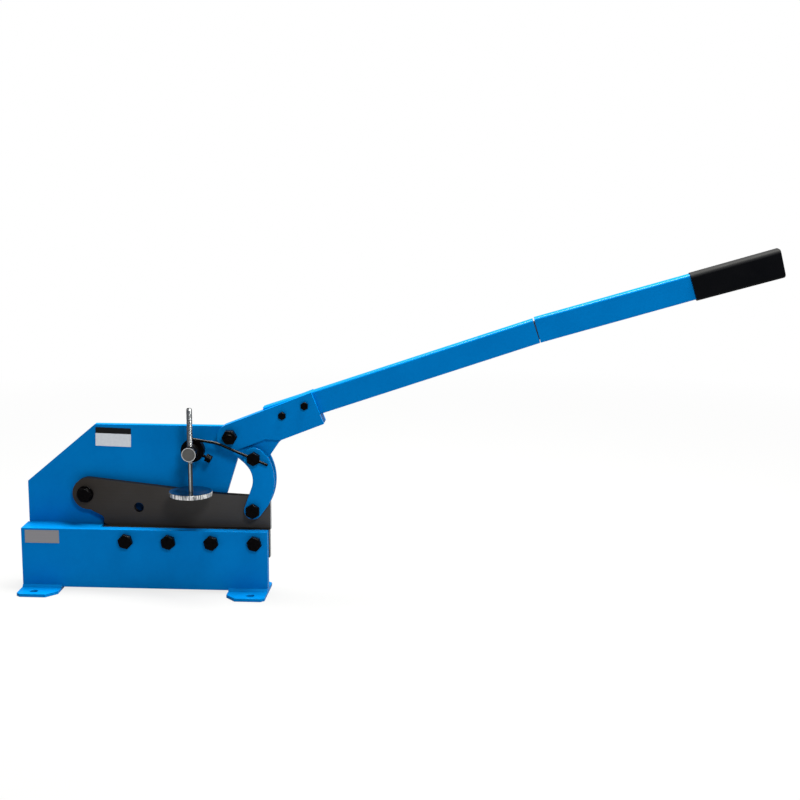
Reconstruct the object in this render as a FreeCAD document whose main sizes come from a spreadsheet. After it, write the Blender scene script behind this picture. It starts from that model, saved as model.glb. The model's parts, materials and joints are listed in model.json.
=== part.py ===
import FreeCAD, Part
import math
import os
import Sketcher

# Bench plate shear: a long hand lever lifts and lowers the upper blade through a pair of curved links.
# Millimetres, +Z up, +X along the base towards the handle, +Y towards the rear. The origin lies midway
# between the two mounting holes of the feet, on the feet's underside.

doc = FreeCAD.newDocument("bench_plate_shear")
sheet = doc.addObject("Spreadsheet::Sheet", "Sizes")

# Driving dimensions. Heights are counted from the underside of the feet, and a note that begins with
# "along the base" is a place counted from the base's left end.

DRIVING = [
    ("right_angle", 90, "degrees"),
    ("base_length", 452, "front plate, left end to right end"),
    ("base_top", 116, "height of the front plate and of the lower blade's edge"),
    ("front_plate_thickness", 19, ""),
    ("front_setback", 29, "line of the foot holes to the front plate's face"),
    ("body_thickness", 14, "C-shaped body plate"),
    ("blade_thickness", 14, "both blades and the lever's core"),
    ("running_gap", 0.3, "between faces that slide past each other"),
    ("pin_clearance", 0.05, "radial, shaft in a bore"),
    ("bolt_clearance", 0.5, "radial, fixed bolt in a plain hole"),
    ("foot_thickness", 6, ""),
    ("foot_length", 72, ""),
    ("foot_front_reach", 18.5, "foot holes to the feet's front edge"),
    ("foot_hole_inset", 28, "hole's centre from the end of the base"),
    ("foot_hole_radius", 7.5, ""),
    ("foot_inner_chamfer_along", 18, "front corner nearest the middle of the base"),
    ("foot_inner_chamfer_deep", 22, ""),
    ("foot_outer_chamfer", 7, "front and rear corners at the ends of the base"),
    ("weld_leg", 4, "fillet weld between front plate and foot"),
    ("body_height", 301, "top edge of the body plate"),
    ("body_left_inset", 2.5, "body plate's left edge from the base's left end"),
    ("body_left_height", 193, "top of the vertical left edge"),
    ("body_top_start", 130.5, "along the base, left end of the top edge"),
    ("body_top_overhang", 28.1, "lever pivot to the right end of the top edge"),
    ("body_right_slope", 17.4, "degrees, right edge from the vertical"),
    ("jaw_top", 106, "height of the lower jaw behind the blades"),
    ("jaw_inset", 12, "lower jaw's right end from the right end of the base"),
    ("throat_height", 30, "slot above the lower jaw"),
    ("throat_inset", 302, "closed end of the slot from the right end of the base"),
    ("filler_gap", 4, "filler plate's right end short of the lower blade"),
    ("filler_thickness", 10, ""),
    ("lower_blade_overhang", 2, "past the right end of the base"),
    ("lower_blade_length", 307, ""),
    ("lower_blade_height", 52, ""),
    ("blade_bolt_left_margin", 46, "lower blade's left end to its first bolt"),
    ("blade_bolt_right_margin", 25.5, "last bolt to the lower blade's right end"),
    ("blade_bolt_drop", 20.7, "bolts below the base's top edge"),
    ("blade_bolt_end_gap", 0.5, "bolt end short of the lower blade's rear face"),
    ("bolt_radius", 8, "base bolts, pivot bolts and hold-down stud"),
    ("bolt_across", 24, "across flats"),
    ("bolt_head_height", 10, ""),
    ("nut_height", 13, ""),
    ("bolt_tail", 3, "bolt end showing past its nut"),
    ("blade_pivot_inset", 339.3, "from the right end of the base"),
    ("blade_pivot_height", 173.1, ""),
    ("blade_washer_radius", 15.5, ""),
    ("blade_washer_thickness", 2.5, ""),
    ("lever_pivot_inset", 69.1, "from the right end of the base"),
    ("lever_pivot_height", 286.5, ""),
    ("crank_length", 58.06, "lever pivot to the links' upper bolt"),
    ("crank_angle", 42.07, "degrees below the horizontal in the closed pose"),
    ("link_length", 97.55, "links' upper bolt to their lower bolt"),
    ("link_lean", 1.76, "degrees, lower bolt towards the left in the closed pose"),
    ("blade_open_angle", 7.875, "degrees, the blade's swing from closed to fully open"),
    ("blade_round_radius", 29.5, "rounded end at the blade's pivot"),
    ("blade_round_shift", 5.5, "its centre ahead of the pivot"),
    ("blade_round_rise", 0.8, "and above it"),
    ("blade_back_slope", 6.1, "degrees, falling top edge"),
    ("blade_knee", 247.3, "pivot to the bend of the top edge"),
    ("blade_tip_drop", 4.4, "top edge from the bend to the tip"),
    ("blade_tip_margin", 30.5, "links' lower bolt to the blade's right end"),
    ("blade_edge_depth", 61.1, "cutting edge below the pivot"),
    ("blade_heel_reach", 33.3, "pivot to the heel"),
    ("blade_heel_depth", 53.1, "heel corner below the pivot"),
    ("blade_edge_start", 47.3, "pivot to the left end of the cutting edge"),
    ("blade_heel_fillet", 8, "inside corner above the heel"),
    ("blade_neck_reach", 7.5, "pivot to where the round end meets the neck"),
    ("blade_neck_slope", 26.5, "degrees, neck down to the heel"),
    ("bar_hole_reach", 98.6, "pivot to the round-bar hole"),
    ("bar_hole_drop", 23.1, ""),
    ("bar_hole_radius", 9, ""),
    ("link_hole_play", 2.8, "radial play of the links' lower bolt in the blade"),
    ("link_hole_shift", 0.35, "hole centre behind the bolt in the closed pose"),
    ("link_thickness", 10, ""),
    ("link_head_radius", 19.5, "about the upper bolt"),
    ("link_foot_radius", 16.5, "about the lower bolt"),
    ("link_outer_radius", 93, ""),
    ("link_outer_back", 56.3, "outer arc's centre left of the upper bolt"),
    ("link_outer_drop", 42.6, "and below it"),
    ("link_outer_low", 28.5, "degrees, lower end of the outer arc"),
    ("link_outer_high", 29.5, "degrees, upper end of the outer arc"),
    ("link_head_turn", 48.7, "degrees, where the outer edge meets the upper round"),
    ("link_toe_slope", 50.5, "degrees, lower outer edge"),
    ("link_inner_back", 43, "inner arc's centre left of the upper bolt"),
    ("link_inner_drop", 41.4, "and below it"),
    ("top_bolt_radius", 7, "links' upper bolt"),
    ("top_bolt_across", 22, ""),
    ("top_bolt_head", 11, ""),
    ("top_nut_height", 11, ""),
    ("lever_angle", 21.7, "degrees, lever cheeks above the horizontal"),
    ("cheek_thickness", 8, "front cheek"),
    ("rear_cheek_thickness", 6, ""),
    ("cheek_top", 22.4, "top edge above the lever pivot"),
    ("cheek_bottom", 27.3, "narrow part's lower edge below the pivot"),
    ("cheek_wide_bottom", 39, "wide part's lower edge below the pivot"),
    ("cheek_step_start", 57.6, "pivot to where the lower edge steps down"),
    ("cheek_step_end", 85, ""),
    ("cheek_length", 167.4, "pivot to the cheeks' right end"),
    ("rear_cheek_start", 76, "pivot to the rear cheek's left end"),
    ("lobe_radius", 21.3, "core about the links' upper bolt"),
    ("lobe_edge_angle", 56, "degrees, core's right edge"),
    ("lobe_fillet", 28, "core's right edge into the cheeks' lower edge"),
    ("core_length", 104, "pivot to the core's right end"),
    ("core_gap", 0.3, "core and spacer to the tube"),
    ("small_bolt_radius", 4, "the two bolts through cheeks and tube"),
    ("small_bolt_across", 13, ""),
    ("small_bolt_head", 5.5, ""),
    ("small_nut_height", 6.5, ""),
    ("small_bolt_one", 103.1, "pivot to the first bolt"),
    ("small_bolt_one_rise", 1.9, ""),
    ("small_bolt_two", 147.5, "pivot to the second bolt"),
    ("small_bolt_two_rise", 4.2, ""),
    ("inner_tube_angle", 18.9, "degrees above the horizontal"),
    ("inner_tube_start", 72.6, "pivot to the tube's left end"),
    ("inner_tube_end", 581.4, "pivot to the seam"),
    ("inner_tube_top", 30.6, "top edge above the pivot"),
    ("inner_tube_height", 43.9, ""),
    ("tube_depth", 26, "both tubes, front to rear"),
    ("tube_wall", 2.5, ""),
    ("tube_corner", 4, "outer corner radius"),
    ("outer_tube_angle", 16.5, "degrees above the horizontal"),
    ("outer_tube_height", 45.3, ""),
    ("outer_tube_length", 440, "seam to the tube's right end"),
    ("seam_gap", 1, "between the tubes at their lower edge"),
    ("joiner_length", 160, "bar inside both tubes"),
    ("joiner_height", 32, ""),
    ("joiner_rise", 22.3, "bar's middle above the lower edge at the seam"),
    ("grip_start", 282, "seam to the grip's left end"),
    ("grip_end_wall", 3, ""),
    ("grip_wall", 1.4, "above and below the tube"),
    ("grip_side_wall", 4, "in front of the tube and behind it"),
    ("grip_corner", 9, "outer corner radius"),
    ("grip_flare", 3, "how far the grip's lower side falls towards its free end"),
    ("hold_inset", 136, "hold-down rod from the right end of the base"),
    ("hold_height", 262, "hold-down rod's axis"),
    ("hold_rod_radius", 12.75, ""),
    ("hold_rod_front", 7, "rod's front face behind the foot holes"),
    ("spindle_setback", 21, "spindle's axis behind the foot holes"),
    ("spindle_top", 343.9, "height"),
    ("spindle_thread_radius", 5.35, ""),
    ("spindle_thread_low", 245, "height of the thread's lower end"),
    ("spindle_neck_radius", 4, ""),
    ("spindle_foot_radius", 6, "flange held in the pad"),
    ("spindle_foot_height", 3, ""),
    ("pad_radius", 39, ""),
    ("pad_thickness", 8.5, ""),
    ("pad_top", 193, "height in the photographed pose"),
    ("pad_lid", 3, "wall above the spindle's flange"),
    ("pad_chamfer", 1.2, ""),
    ("collar_radius", 21, ""),
    ("collar_width", 15, ""),
    ("collar_lead", 5, "collar's front face ahead of the spring rod"),
    ("lug_length", 9, "block on the collar that holds the spring rod"),
    ("lug_shift", 4, "its middle, left of the hold-down rod's axis"),
    ("lug_depth", 10, ""),
    ("lug_top", 24.5, "above the hold-down rod's axis"),
    ("thumb_angle", 28.6, "degrees below the horizontal"),
    ("thumb_screw_radius", 3, ""),
    ("thumb_screw_length", 14, ""),
    ("knob_radius", 7.5, ""),
    ("knob_length", 10, ""),
    ("spring_radius", 2.5, ""),
    ("spring_hole_gap", 0.25, "radial, spring rod in the bolt head and lug"),
    ("spring_start_rise", 20.9, "rod's left end above the hold-down rod's axis"),
    ("spring_first_run", 48.4, "start to the bend"),
    ("spring_first_slope", 8.3, "degrees, falling"),
    ("spring_bend_radius", 60, ""),
    ("spring_last_run", 100, "bend to the tip"),
    ("data_plate_along", 131, "along the base, left edge"),
    ("data_plate_length", 65.4, ""),
    ("data_plate_low", 260.4, "height of the lower edge"),
    ("data_plate_height", 34.4, ""),
    ("data_plate_tilt", 1.5, "degrees, falling to the right"),
    ("base_label_along", 7.2, "along the base, left edge"),
    ("base_label_length", 63, ""),
    ("base_label_low", 88.6, "height of the lower edge"),
    ("base_label_height", 24, ""),
    ("label_thickness", 0.8, ""),
]

for row, (name, value, note) in enumerate(DRIVING, start=1):
    sheet.set("A%d" % row, name)
    sheet.set("B%d" % row, str(value))
    sheet.set("C%d" % row, note)
    sheet.setAlias("B%d" % row, name)
doc.recompute()


# Sizes that remember the sheet expression they come from

class Size:
    def __init__(self, number, text):
        self.number = float(number)
        self.text = text

    def __add__(self, other):
        other = as_size(other)
        return Size(self.number + other.number, "(%s + %s)" % (self.text, other.text))

    def __sub__(self, other):
        other = as_size(other)
        return Size(self.number - other.number, "(%s - %s)" % (self.text, other.text))

    def __mul__(self, other):
        other = as_size(other)
        return Size(self.number * other.number, "(%s * %s)" % (self.text, other.text))

    def __truediv__(self, other):
        other = as_size(other)
        return Size(self.number / other.number, "(%s / %s)" % (self.text, other.text))

    def __rmul__(self, other):
        return as_size(other) * self

    def __neg__(self):
        return Size(-self.number, "(0 - %s)" % self.text)


def as_size(value):
    if isinstance(value, Size):
        return value
    return Size(value, "(%r)" % float(value))


def sine(angle):
    return Size(math.sin(math.radians(angle.number)), "sin(%s)" % angle.text)


def cosine(angle):
    return Size(math.cos(math.radians(angle.number)), "cos(%s)" % angle.text)


def tangent(angle):
    return Size(math.tan(math.radians(angle.number)), "tan(%s)" % angle.text)


def arctangent(value):
    return Size(math.degrees(math.atan(value.number)), "(atan(%s) / (1 deg))" % value.text)


def root(value):
    return Size(math.sqrt(value.number), "sqrt(%s)" % value.text)


class Sizes:
    pass


size = Sizes()
for name, value, note in DRIVING:
    setattr(size, name, Size(value, "Sizes." + name))

ZERO = as_size(0)


def bind(thing, name, value):
    thing.setExpression(name, as_size(value).text)


def turned(point, angle):
    # A point (x, z) turned counter-clockwise, as seen from the front
    x, z = point
    return (x * cosine(angle) - z * sine(angle), x * sine(angle) + z * cosine(angle))


def shifted(point, by):
    return (point[0] + by[0], point[1] + by[1])


def on_circle(centre, radius, angle):
    return (centre[0] + radius * cosine(angle), centre[1] + radius * sine(angle))


def touch_points(first, first_radius, second, second_radius, side):
    # The two points where a straight line touches a round about each centre. The radii are positive
    # on the line's own side, and side is 1 or -1 for the two such lines.
    across = second[0] - first[0]
    up = second[1] - first[1]
    apart = root(across * across + up * up)
    share = (first_radius - second_radius) / apart
    rest = root(as_size(1) - share * share) * side
    normal = ((across * share - up * rest) / apart, (up * share + across * rest) / apart)
    near = (first[0] + first_radius * normal[0], first[1] + first_radius * normal[1])
    far = (second[0] + second_radius * normal[0], second[1] + second_radius * normal[1])
    return near, far


# Sketches and solids

class Outline:
    # A sketch on one of the body's origin planes, moved along that plane's normal by an offset.
    def __init__(self, body, name, plane, offset):
        self.sketch = body.newObject("Sketcher::SketchObject", name)
        for feature in body.Origin.OriginFeatures:
            if feature.Role == plane:
                self.sketch.AttachmentSupport = [(feature, "")]
        self.sketch.MapMode = "FlatFace"
        bind(self.sketch, "AttachmentOffset.Base.z", offset)

    def fix(self, kind, geometry, point, value):
        value = as_size(value)
        if kind == "Radius":
            index = self.sketch.addConstraint(Sketcher.Constraint(kind, geometry, value.number))
        else:
            rule = Sketcher.Constraint(kind, -1, 1, geometry, point, value.number)
            index = self.sketch.addConstraint(rule)
        name = "c%d" % index
        self.sketch.renameConstraint(index, name)
        bind(self.sketch, "Constraints." + name, value)

    def straight(self, here, there):
        start = FreeCAD.Vector(here[0].number, here[1].number, 0)
        end = FreeCAD.Vector(there[0].number, there[1].number, 0)
        return self.sketch.addGeometry(Part.LineSegment(start, end), False), 1, 2

    def bow(self, here, there, centre, turn):
        middle = FreeCAD.Vector(centre[0].number, centre[1].number, 0)
        start = FreeCAD.Vector(here[0].number, here[1].number, 0) - middle
        end = FreeCAD.Vector(there[0].number, there[1].number, 0) - middle
        circle = Part.Circle(middle, FreeCAD.Vector(0, 0, 1), start.Length)
        first = math.atan2(start.y, start.x)
        last = math.atan2(end.y, end.x)
        if turn > 0:
            geometry = self.sketch.addGeometry(Part.ArcOfCircle(circle, first, last), False)
            ends = (1, 2)
        else:
            geometry = self.sketch.addGeometry(Part.ArcOfCircle(circle, last, first), False)
            ends = (2, 1)
        self.fix("DistanceX", geometry, 3, centre[0])
        self.fix("DistanceY", geometry, 3, centre[1])
        return geometry, ends[0], ends[1]

    def path(self, points, closed=True):
        # Each point is (x, y), reached by a straight edge, or (x, y, centre, turn), reached by an arc
        # about that centre, counter-clockwise for turn 1. A closed path ends with a straight edge.
        points = [(as_size(point[0]), as_size(point[1])) + tuple(point[2:]) for point in points]
        stops = points[1:]
        if closed:
            stops = stops + [points[0][:2]]
        here = points[0]
        edges = []
        for stop in stops:
            if len(stop) == 2:
                edge = self.straight(here, stop)
            else:
                edge = self.bow(here, stop, stop[2], stop[3])
            edges.append(edge)
            here = stop
        self.fix("DistanceX", edges[0][0], edges[0][1], points[0][0])
        self.fix("DistanceY", edges[0][0], edges[0][1], points[0][1])
        for edge, stop in zip(edges, points[1:]):
            if len(stop) == 2:
                self.fix("DistanceX", edge[0], edge[2], stop[0])
                self.fix("DistanceY", edge[0], edge[2], stop[1])
            elif abs(stop[0].number - stop[2][0].number) < abs(stop[1].number - stop[2][1].number):
                self.fix("DistanceX", edge[0], edge[2], stop[0])
            else:
                self.fix("DistanceY", edge[0], edge[2], stop[1])
        followers = edges[1:]
        if closed:
            followers = followers + [edges[0]]
        for edge, after in zip(edges, followers):
            joint = Sketcher.Constraint("Coincident", edge[0], edge[2], after[0], after[1])
            self.sketch.addConstraint(joint)

    def rectangle(self, left, low, right, high):
        self.path([(left, low), (right, low), (right, high), (left, high)])

    def rounded(self, left, low, right, high, radius):
        # A rectangle with round corners
        self.path([
            (left + radius, low),
            (right - radius, low),
            (right, low + radius, (right - radius, low + radius), 1),
            (right, high - radius),
            (right - radius, high, (right - radius, high - radius), 1),
            (left + radius, high),
            (left, high - radius, (left + radius, high - radius), 1),
            (left, low + radius),
            (left + radius * CORNER_MIDDLE, low + radius * CORNER_MIDDLE, (left + radius, low + radius), 1),
        ])

    def circle(self, x, y, radius):
        centre = FreeCAD.Vector(as_size(x).number, as_size(y).number, 0)
        shape = Part.Circle(centre, FreeCAD.Vector(0, 0, 1), radius.number)
        geometry = self.sketch.addGeometry(shape, False)
        self.fix("DistanceX", geometry, 3, x)
        self.fix("DistanceY", geometry, 3, y)
        self.fix("Radius", geometry, 0, radius)


CORNER_MIDDLE = 1 - math.sqrt(0.5)
SIDEWAYS = FreeCAD.Vector(0, -1, 0)


def new_body(label):
    body = doc.addObject("PartDesign::Body", label)
    body.Label = label
    return body


def pad(body, outline, length, reverse=False):
    feature = body.newObject("PartDesign::Pad", body.Name + "_pad")
    feature.Profile = outline.sketch
    bind(feature, "Length", length)
    feature.Reversed = reverse
    body.Tip = feature
    return feature


def cut(body, outline, length=None, reverse=False):
    # A pocket of a given depth, or through everything on both sides
    feature = body.newObject("PartDesign::Pocket", body.Name + "_pocket")
    feature.Profile = outline.sketch
    if length is None:
        feature.Type = "ThroughAll"
        feature.Midplane = True
    else:
        bind(feature, "Length", length)
        feature.Reversed = reverse
    body.Tip = feature
    return feature


def place(thing, x, y, z, angle=None):
    # Moves a piece and turns it counter-clockwise, as seen from the front
    if angle is not None:
        thing.Placement = FreeCAD.Placement(FreeCAD.Vector(0, 0, 0), FreeCAD.Rotation(SIDEWAYS, 0))
        bind(thing, "Placement.Rotation.Angle", angle)
    bind(thing, "Placement.Base.x", x)
    bind(thing, "Placement.Base.y", y)
    bind(thing, "Placement.Base.z", z)


def upright_plate(label, face, thickness, points, holes=()):
    # A plate across the Y axis with its front face at Y = face; holes are (x, z, radius)
    body = new_body(label)
    outline = Outline(body, label + "_outline", "XZ_Plane", -face)
    outline.path(points)
    for x, z, radius in holes:
        outline.circle(x, z, radius)
    pad(body, outline, thickness, reverse=True)
    return body


def corners(left, low, right, high):
    return [(left, low), (right, low), (right, high), (left, high)]


def block(label, x, y, z, length, depth, height):
    box = doc.addObject("Part::Box", label)
    box.Label = label
    bind(box, "Length", length)
    bind(box, "Width", depth)
    bind(box, "Height", height)
    place(box, x, y, z)
    return box


TOWARDS_REAR = FreeCAD.Rotation(FreeCAD.Vector(1, 0, 0), -90)
TOWARDS_FRONT = FreeCAD.Rotation(FreeCAD.Vector(1, 0, 0), 90)
UPRIGHT = FreeCAD.Rotation()


def cylinder(label, x, y, z, radius, length, heading=TOWARDS_REAR):
    solid = doc.addObject("Part::Cylinder", label)
    solid.Label = label
    solid.Placement = FreeCAD.Placement(FreeCAD.Vector(0, 0, 0), heading)
    bind(solid, "Radius", radius)
    bind(solid, "Height", length)
    place(solid, x, y, z)
    return solid


def hexagon(label, x, y, z, across, height, heading, corners_up=False):
    solid = doc.addObject("Part::Prism", label)
    solid.Label = label
    solid.Polygon = 6
    twist = FreeCAD.Rotation(FreeCAD.Vector(0, 0, 1), 30 if corners_up else 0)
    solid.Placement = FreeCAD.Placement(FreeCAD.Vector(0, 0, 0), heading * twist)
    bind(solid, "Circumradius", across / math.sqrt(3))
    bind(solid, "Height", height)
    place(solid, x, y, z)
    return solid


def fused(label, pieces):
    whole = doc.addObject("Part::MultiFuse", label)
    whole.Label = label
    whole.Shapes = pieces
    return whole


def less(label, base, tool):
    rest = doc.addObject("Part::Cut", label)
    rest.Label = label
    rest.Base = base
    rest.Tool = tool
    return rest


def group(label, pieces):
    # Identical pieces that share one node
    bunch = doc.addObject("Part::Compound", label)
    bunch.Label = label
    bunch.Links = pieces
    return bunch


def bolt(label, x, seat, z, across, head, radius, length, from_rear=False, corners_up=False):
    # A hexagon bolt along Y. Its head sits with its underside at Y = seat.
    ahead, behind = (TOWARDS_FRONT, TOWARDS_REAR) if from_rear else (TOWARDS_REAR, TOWARDS_FRONT)
    top = hexagon(label + "_head", x, seat, z, across, head, behind, corners_up)
    shank = cylinder(label + "_shank", x, seat, z, radius, length, ahead)
    return fused(label, [top, shank])


def nut(label, x, seat, z, across, height, bore, from_front=False, corners_up=False):
    # A hexagon nut along Y that rests on a face at Y = seat
    heading = TOWARDS_FRONT if from_front else TOWARDS_REAR
    outside = hexagon(label + "_outside", x, seat, z, across, height, heading, corners_up)
    inside = cylinder(label + "_bore", x, seat, z, bore, height, heading)
    return less(label, outside, inside)


# Main levels and faces

left_end = -size.base_length / 2
right_end = size.base_length / 2
front_face = size.front_setback
lower_blade_face = front_face + size.front_plate_thickness
blade_face = lower_blade_face + size.blade_thickness + size.running_gap
body_face = blade_face + size.blade_thickness + size.running_gap
body_rear = body_face + size.body_thickness
front_link_face = blade_face - size.running_gap - size.link_thickness
rear_link_face = body_face
rear_link_back = rear_link_face + size.link_thickness
cheek_face = blade_face - size.cheek_thickness
tube_rear = blade_face + size.tube_depth
bolt_bore = size.bolt_radius + size.pin_clearance

blade_pivot = (right_end - size.blade_pivot_inset, size.blade_pivot_height)
lever_pivot = (right_end - size.lever_pivot_inset, size.lever_pivot_height)
crank = (size.crank_length * cosine(size.crank_angle), -size.crank_length * sine(size.crank_angle))
top_pin = shifted(lever_pivot, crank)
link_span = (-size.link_length * sine(size.link_lean), -size.link_length * cosine(size.link_lean))
low_pin = shifted(top_pin, link_span)
hold_x = right_end - size.hold_inset
blade_bolt_z = size.base_top - size.blade_bolt_drop
lower_blade_right = right_end + size.lower_blade_overhang
lower_blade_left = lower_blade_right - size.lower_blade_length

nodes = []


# Base: front plate, feet with their welds, filler plate

BLADE_BOLTS = 4
blade_bolt_pitch = (size.lower_blade_length - size.blade_bolt_left_margin
                    - size.blade_bolt_right_margin) / (BLADE_BOLTS - 1)
blade_bolts_x = [lower_blade_left + size.blade_bolt_left_margin + blade_bolt_pitch * number
                 for number in range(BLADE_BOLTS)]

front_plate = upright_plate(
    "front_plate", front_face, size.front_plate_thickness,
    corners(left_end, size.foot_thickness, right_end, size.base_top),
    [(x, blade_bolt_z, size.bolt_radius + size.bolt_clearance) for x in blade_bolts_x])
nodes.append(front_plate)


def foot(label, side):
    # Flat plate under both upright plates, with clipped corners and one mounting hole
    body = new_body(label)
    outer = right_end * side
    inner = outer - size.foot_length * side
    front = -size.foot_front_reach
    clip = size.foot_outer_chamfer
    outline = Outline(body, label + "_outline", "XY_Plane", ZERO)
    outline.path([
        (inner, body_rear),
        (inner, front + size.foot_inner_chamfer_deep),
        (inner + size.foot_inner_chamfer_along * side, front),
        (outer - clip * side, front),
        (outer, front + clip),
        (outer, body_rear - clip),
        (outer - clip * side, body_rear),
    ])
    outline.circle(outer - size.foot_hole_inset * side, ZERO, size.foot_hole_radius)
    pad(body, outline, size.foot_thickness)
    return body


def foot_weld(label, start):
    # Fillet weld along the front plate's lower edge
    body = new_body(label)
    outline = Outline(body, label + "_outline", "YZ_Plane", start)
    outline.path([
        (front_face, size.foot_thickness),
        (front_face - size.weld_leg, size.foot_thickness),
        (front_face, size.foot_thickness + size.weld_leg),
    ])
    pad(body, outline, size.foot_length)
    return body


nodes.append(foot("left_foot", -1))
nodes.append(foot("right_foot", 1))
nodes.append(group("foot_welds", [
    foot_weld("left_weld", left_end),
    foot_weld("right_weld", right_end - size.foot_length),
]))
nodes.append(block(
    "top_filler_plate", left_end, lower_blade_face, size.base_top - size.filler_thickness,
    lower_blade_left - size.filler_gap - left_end, body_face - lower_blade_face,
    size.filler_thickness))


# Body plate: a C-shaped frame whose lower jaw stands behind the blades

bar_hole_closed = (size.bar_hole_reach, -size.bar_hole_drop)
bar_hole_open = shifted(blade_pivot, turned(bar_hole_closed, size.blade_open_angle))
throat_radius = size.throat_height / 2
throat_centre = (right_end - size.throat_inset + throat_radius, size.jaw_top + throat_radius)
arm_low = size.jaw_top + size.throat_height
body_top_right = lever_pivot[0] + size.body_top_overhang
arm_end = body_top_right - (size.body_height - arm_low) * tangent(size.body_right_slope)
jaw_right = right_end - size.jaw_inset

body_plate = upright_plate(
    "body_plate", body_face, size.body_thickness,
    [
        (left_end + size.body_left_inset, size.foot_thickness),
        (jaw_right, size.foot_thickness),
        (jaw_right, size.jaw_top),
        (throat_centre[0], size.jaw_top),
        (throat_centre[0] - throat_radius, throat_centre[1], throat_centre, -1),
        (throat_centre[0], arm_low, throat_centre, -1),
        (arm_end, arm_low),
        (body_top_right, size.body_height),
        (left_end + size.body_top_start, size.body_height),
        (left_end + size.body_left_inset, size.body_left_height),
    ],
    [
        blade_pivot + (bolt_bore,),
        lever_pivot + (bolt_bore,),
        (hold_x, size.hold_height, bolt_bore),
        bar_hole_open + (size.bar_hole_radius,),
    ])
nodes.append(body_plate)


# Lower blade and its bolts

lower_blade = upright_plate(
    "lower_blade", lower_blade_face, size.blade_thickness,
    corners(lower_blade_left, size.base_top - size.lower_blade_height,
            lower_blade_right, size.base_top),
    [(x, blade_bolt_z, bolt_bore) for x in blade_bolts_x])
nodes.append(lower_blade)

blade_bolt_length = size.front_plate_thickness + size.blade_thickness - size.blade_bolt_end_gap
nodes.append(group("lower_blade_bolts", [
    bolt("lower_blade_bolt_%d" % number, x, front_face, blade_bolt_z, size.bolt_across,
         size.bolt_head_height, size.bolt_radius, blade_bolt_length)
    for number, x in enumerate(blade_bolts_x, start=1)]))


# Upper blade: rounded at its pivot, straight cutting edge, holes for a round bar and for the links' bolt

low_pin_in_blade = (low_pin[0] - blade_pivot[0], low_pin[1] - blade_pivot[1])
blade_tip = low_pin_in_blade[0] + size.blade_tip_margin


def blade_points():
    # Outline about the blade's pivot
    centre = (size.blade_round_shift, size.blade_round_rise)
    top = on_circle(centre, size.blade_round_radius, size.right_angle - size.blade_back_slope)
    knee_z = top[1] - (size.blade_knee - top[0]) * tangent(size.blade_back_slope)
    tip_z = knee_z - size.blade_tip_drop
    drop = size.blade_neck_reach - centre[0]
    neck_z = centre[1] - root(size.blade_round_radius * size.blade_round_radius - drop * drop)
    slope = size.blade_neck_slope
    neck_run = size.blade_heel_reach - size.blade_neck_reach
    corner = (size.blade_heel_reach, neck_z - neck_run * tangent(slope))
    run = size.blade_heel_fillet * tangent((size.right_angle - slope) / 2)
    fillet_start = (corner[0] - run * cosine(slope), corner[1] + run * sine(slope))
    fillet_end = (corner[0], corner[1] - run)
    fillet_centre = (corner[0] - size.blade_heel_fillet, fillet_end[1])
    return [
        (blade_tip, -size.blade_edge_depth),
        (blade_tip, tip_z),
        (size.blade_knee, knee_z),
        top,
        (size.blade_neck_reach, neck_z, centre, 1),
        fillet_start,
        fillet_end + (fillet_centre, -1),
        (size.blade_heel_reach, -size.blade_heel_depth),
        (size.blade_edge_start, -size.blade_edge_depth),
    ]


upper_blade = upright_plate(
    "upper_blade", blade_face, size.blade_thickness, blade_points(),
    [
        (ZERO, ZERO, bolt_bore),
        bar_hole_closed + (size.bar_hole_radius,),
        (low_pin_in_blade[0] + size.link_hole_shift, low_pin_in_blade[1],
         size.bolt_radius + size.link_hole_play),
    ])
place(upper_blade, blade_pivot[0], ZERO, blade_pivot[1])
nodes.append(upper_blade)


# Blade pivot: bolt, washer and nut held by the body plate

washer_back = blade_face - size.running_gap
washer_front = washer_back - size.blade_washer_thickness
nodes.append(bolt(
    "blade_pivot_bolt", blade_pivot[0], washer_front, blade_pivot[1], size.bolt_across,
    size.bolt_head_height, size.bolt_radius,
    body_rear - washer_front + size.nut_height + size.bolt_tail))
nodes.append(less(
    "blade_pivot_washer",
    cylinder("blade_washer_disc", blade_pivot[0], washer_front, blade_pivot[1],
             size.blade_washer_radius, size.blade_washer_thickness),
    cylinder("blade_washer_hole", blade_pivot[0], washer_front, blade_pivot[1],
             bolt_bore, size.blade_washer_thickness)))
nodes.append(nut(
    "blade_pivot_nut", blade_pivot[0], body_rear, blade_pivot[1], size.bolt_across, size.nut_height,
    bolt_bore))


# Curved links on both sides of the blade and lever, with their bolts

def link_points():
    # Outline about the upper bolt
    head = (ZERO, ZERO)
    foot_centre = link_span
    outer_centre = (-size.link_outer_back, -size.link_outer_drop)
    inner_centre = (-size.link_inner_back, -size.link_inner_drop)
    inner_apart = root(size.link_inner_back * size.link_inner_back
                       + size.link_inner_drop * size.link_inner_drop)
    inner_radius = inner_apart - size.link_head_radius
    head_share = size.link_head_radius / inner_apart
    inner_top = (inner_centre[0] * head_share, inner_centre[1] * head_share)
    inner_low, foot_left = touch_points(
        inner_centre, inner_radius, foot_centre, -size.link_foot_radius, 1)
    toe = (foot_centre[0] + size.link_foot_radius * sine(size.link_toe_slope),
           foot_centre[1] - size.link_foot_radius * cosine(size.link_toe_slope))
    outer_low = on_circle(outer_centre, size.link_outer_radius, -size.link_outer_low)
    outer_high = on_circle(outer_centre, size.link_outer_radius, size.link_outer_high)
    head_right = on_circle(head, size.link_head_radius, size.link_head_turn)
    return [
        foot_left,
        toe + (foot_centre, 1),
        outer_low,
        outer_high + (outer_centre, 1),
        head_right,
        inner_top + (head, 1),
        inner_low + (inner_centre, -1),
    ]


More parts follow.
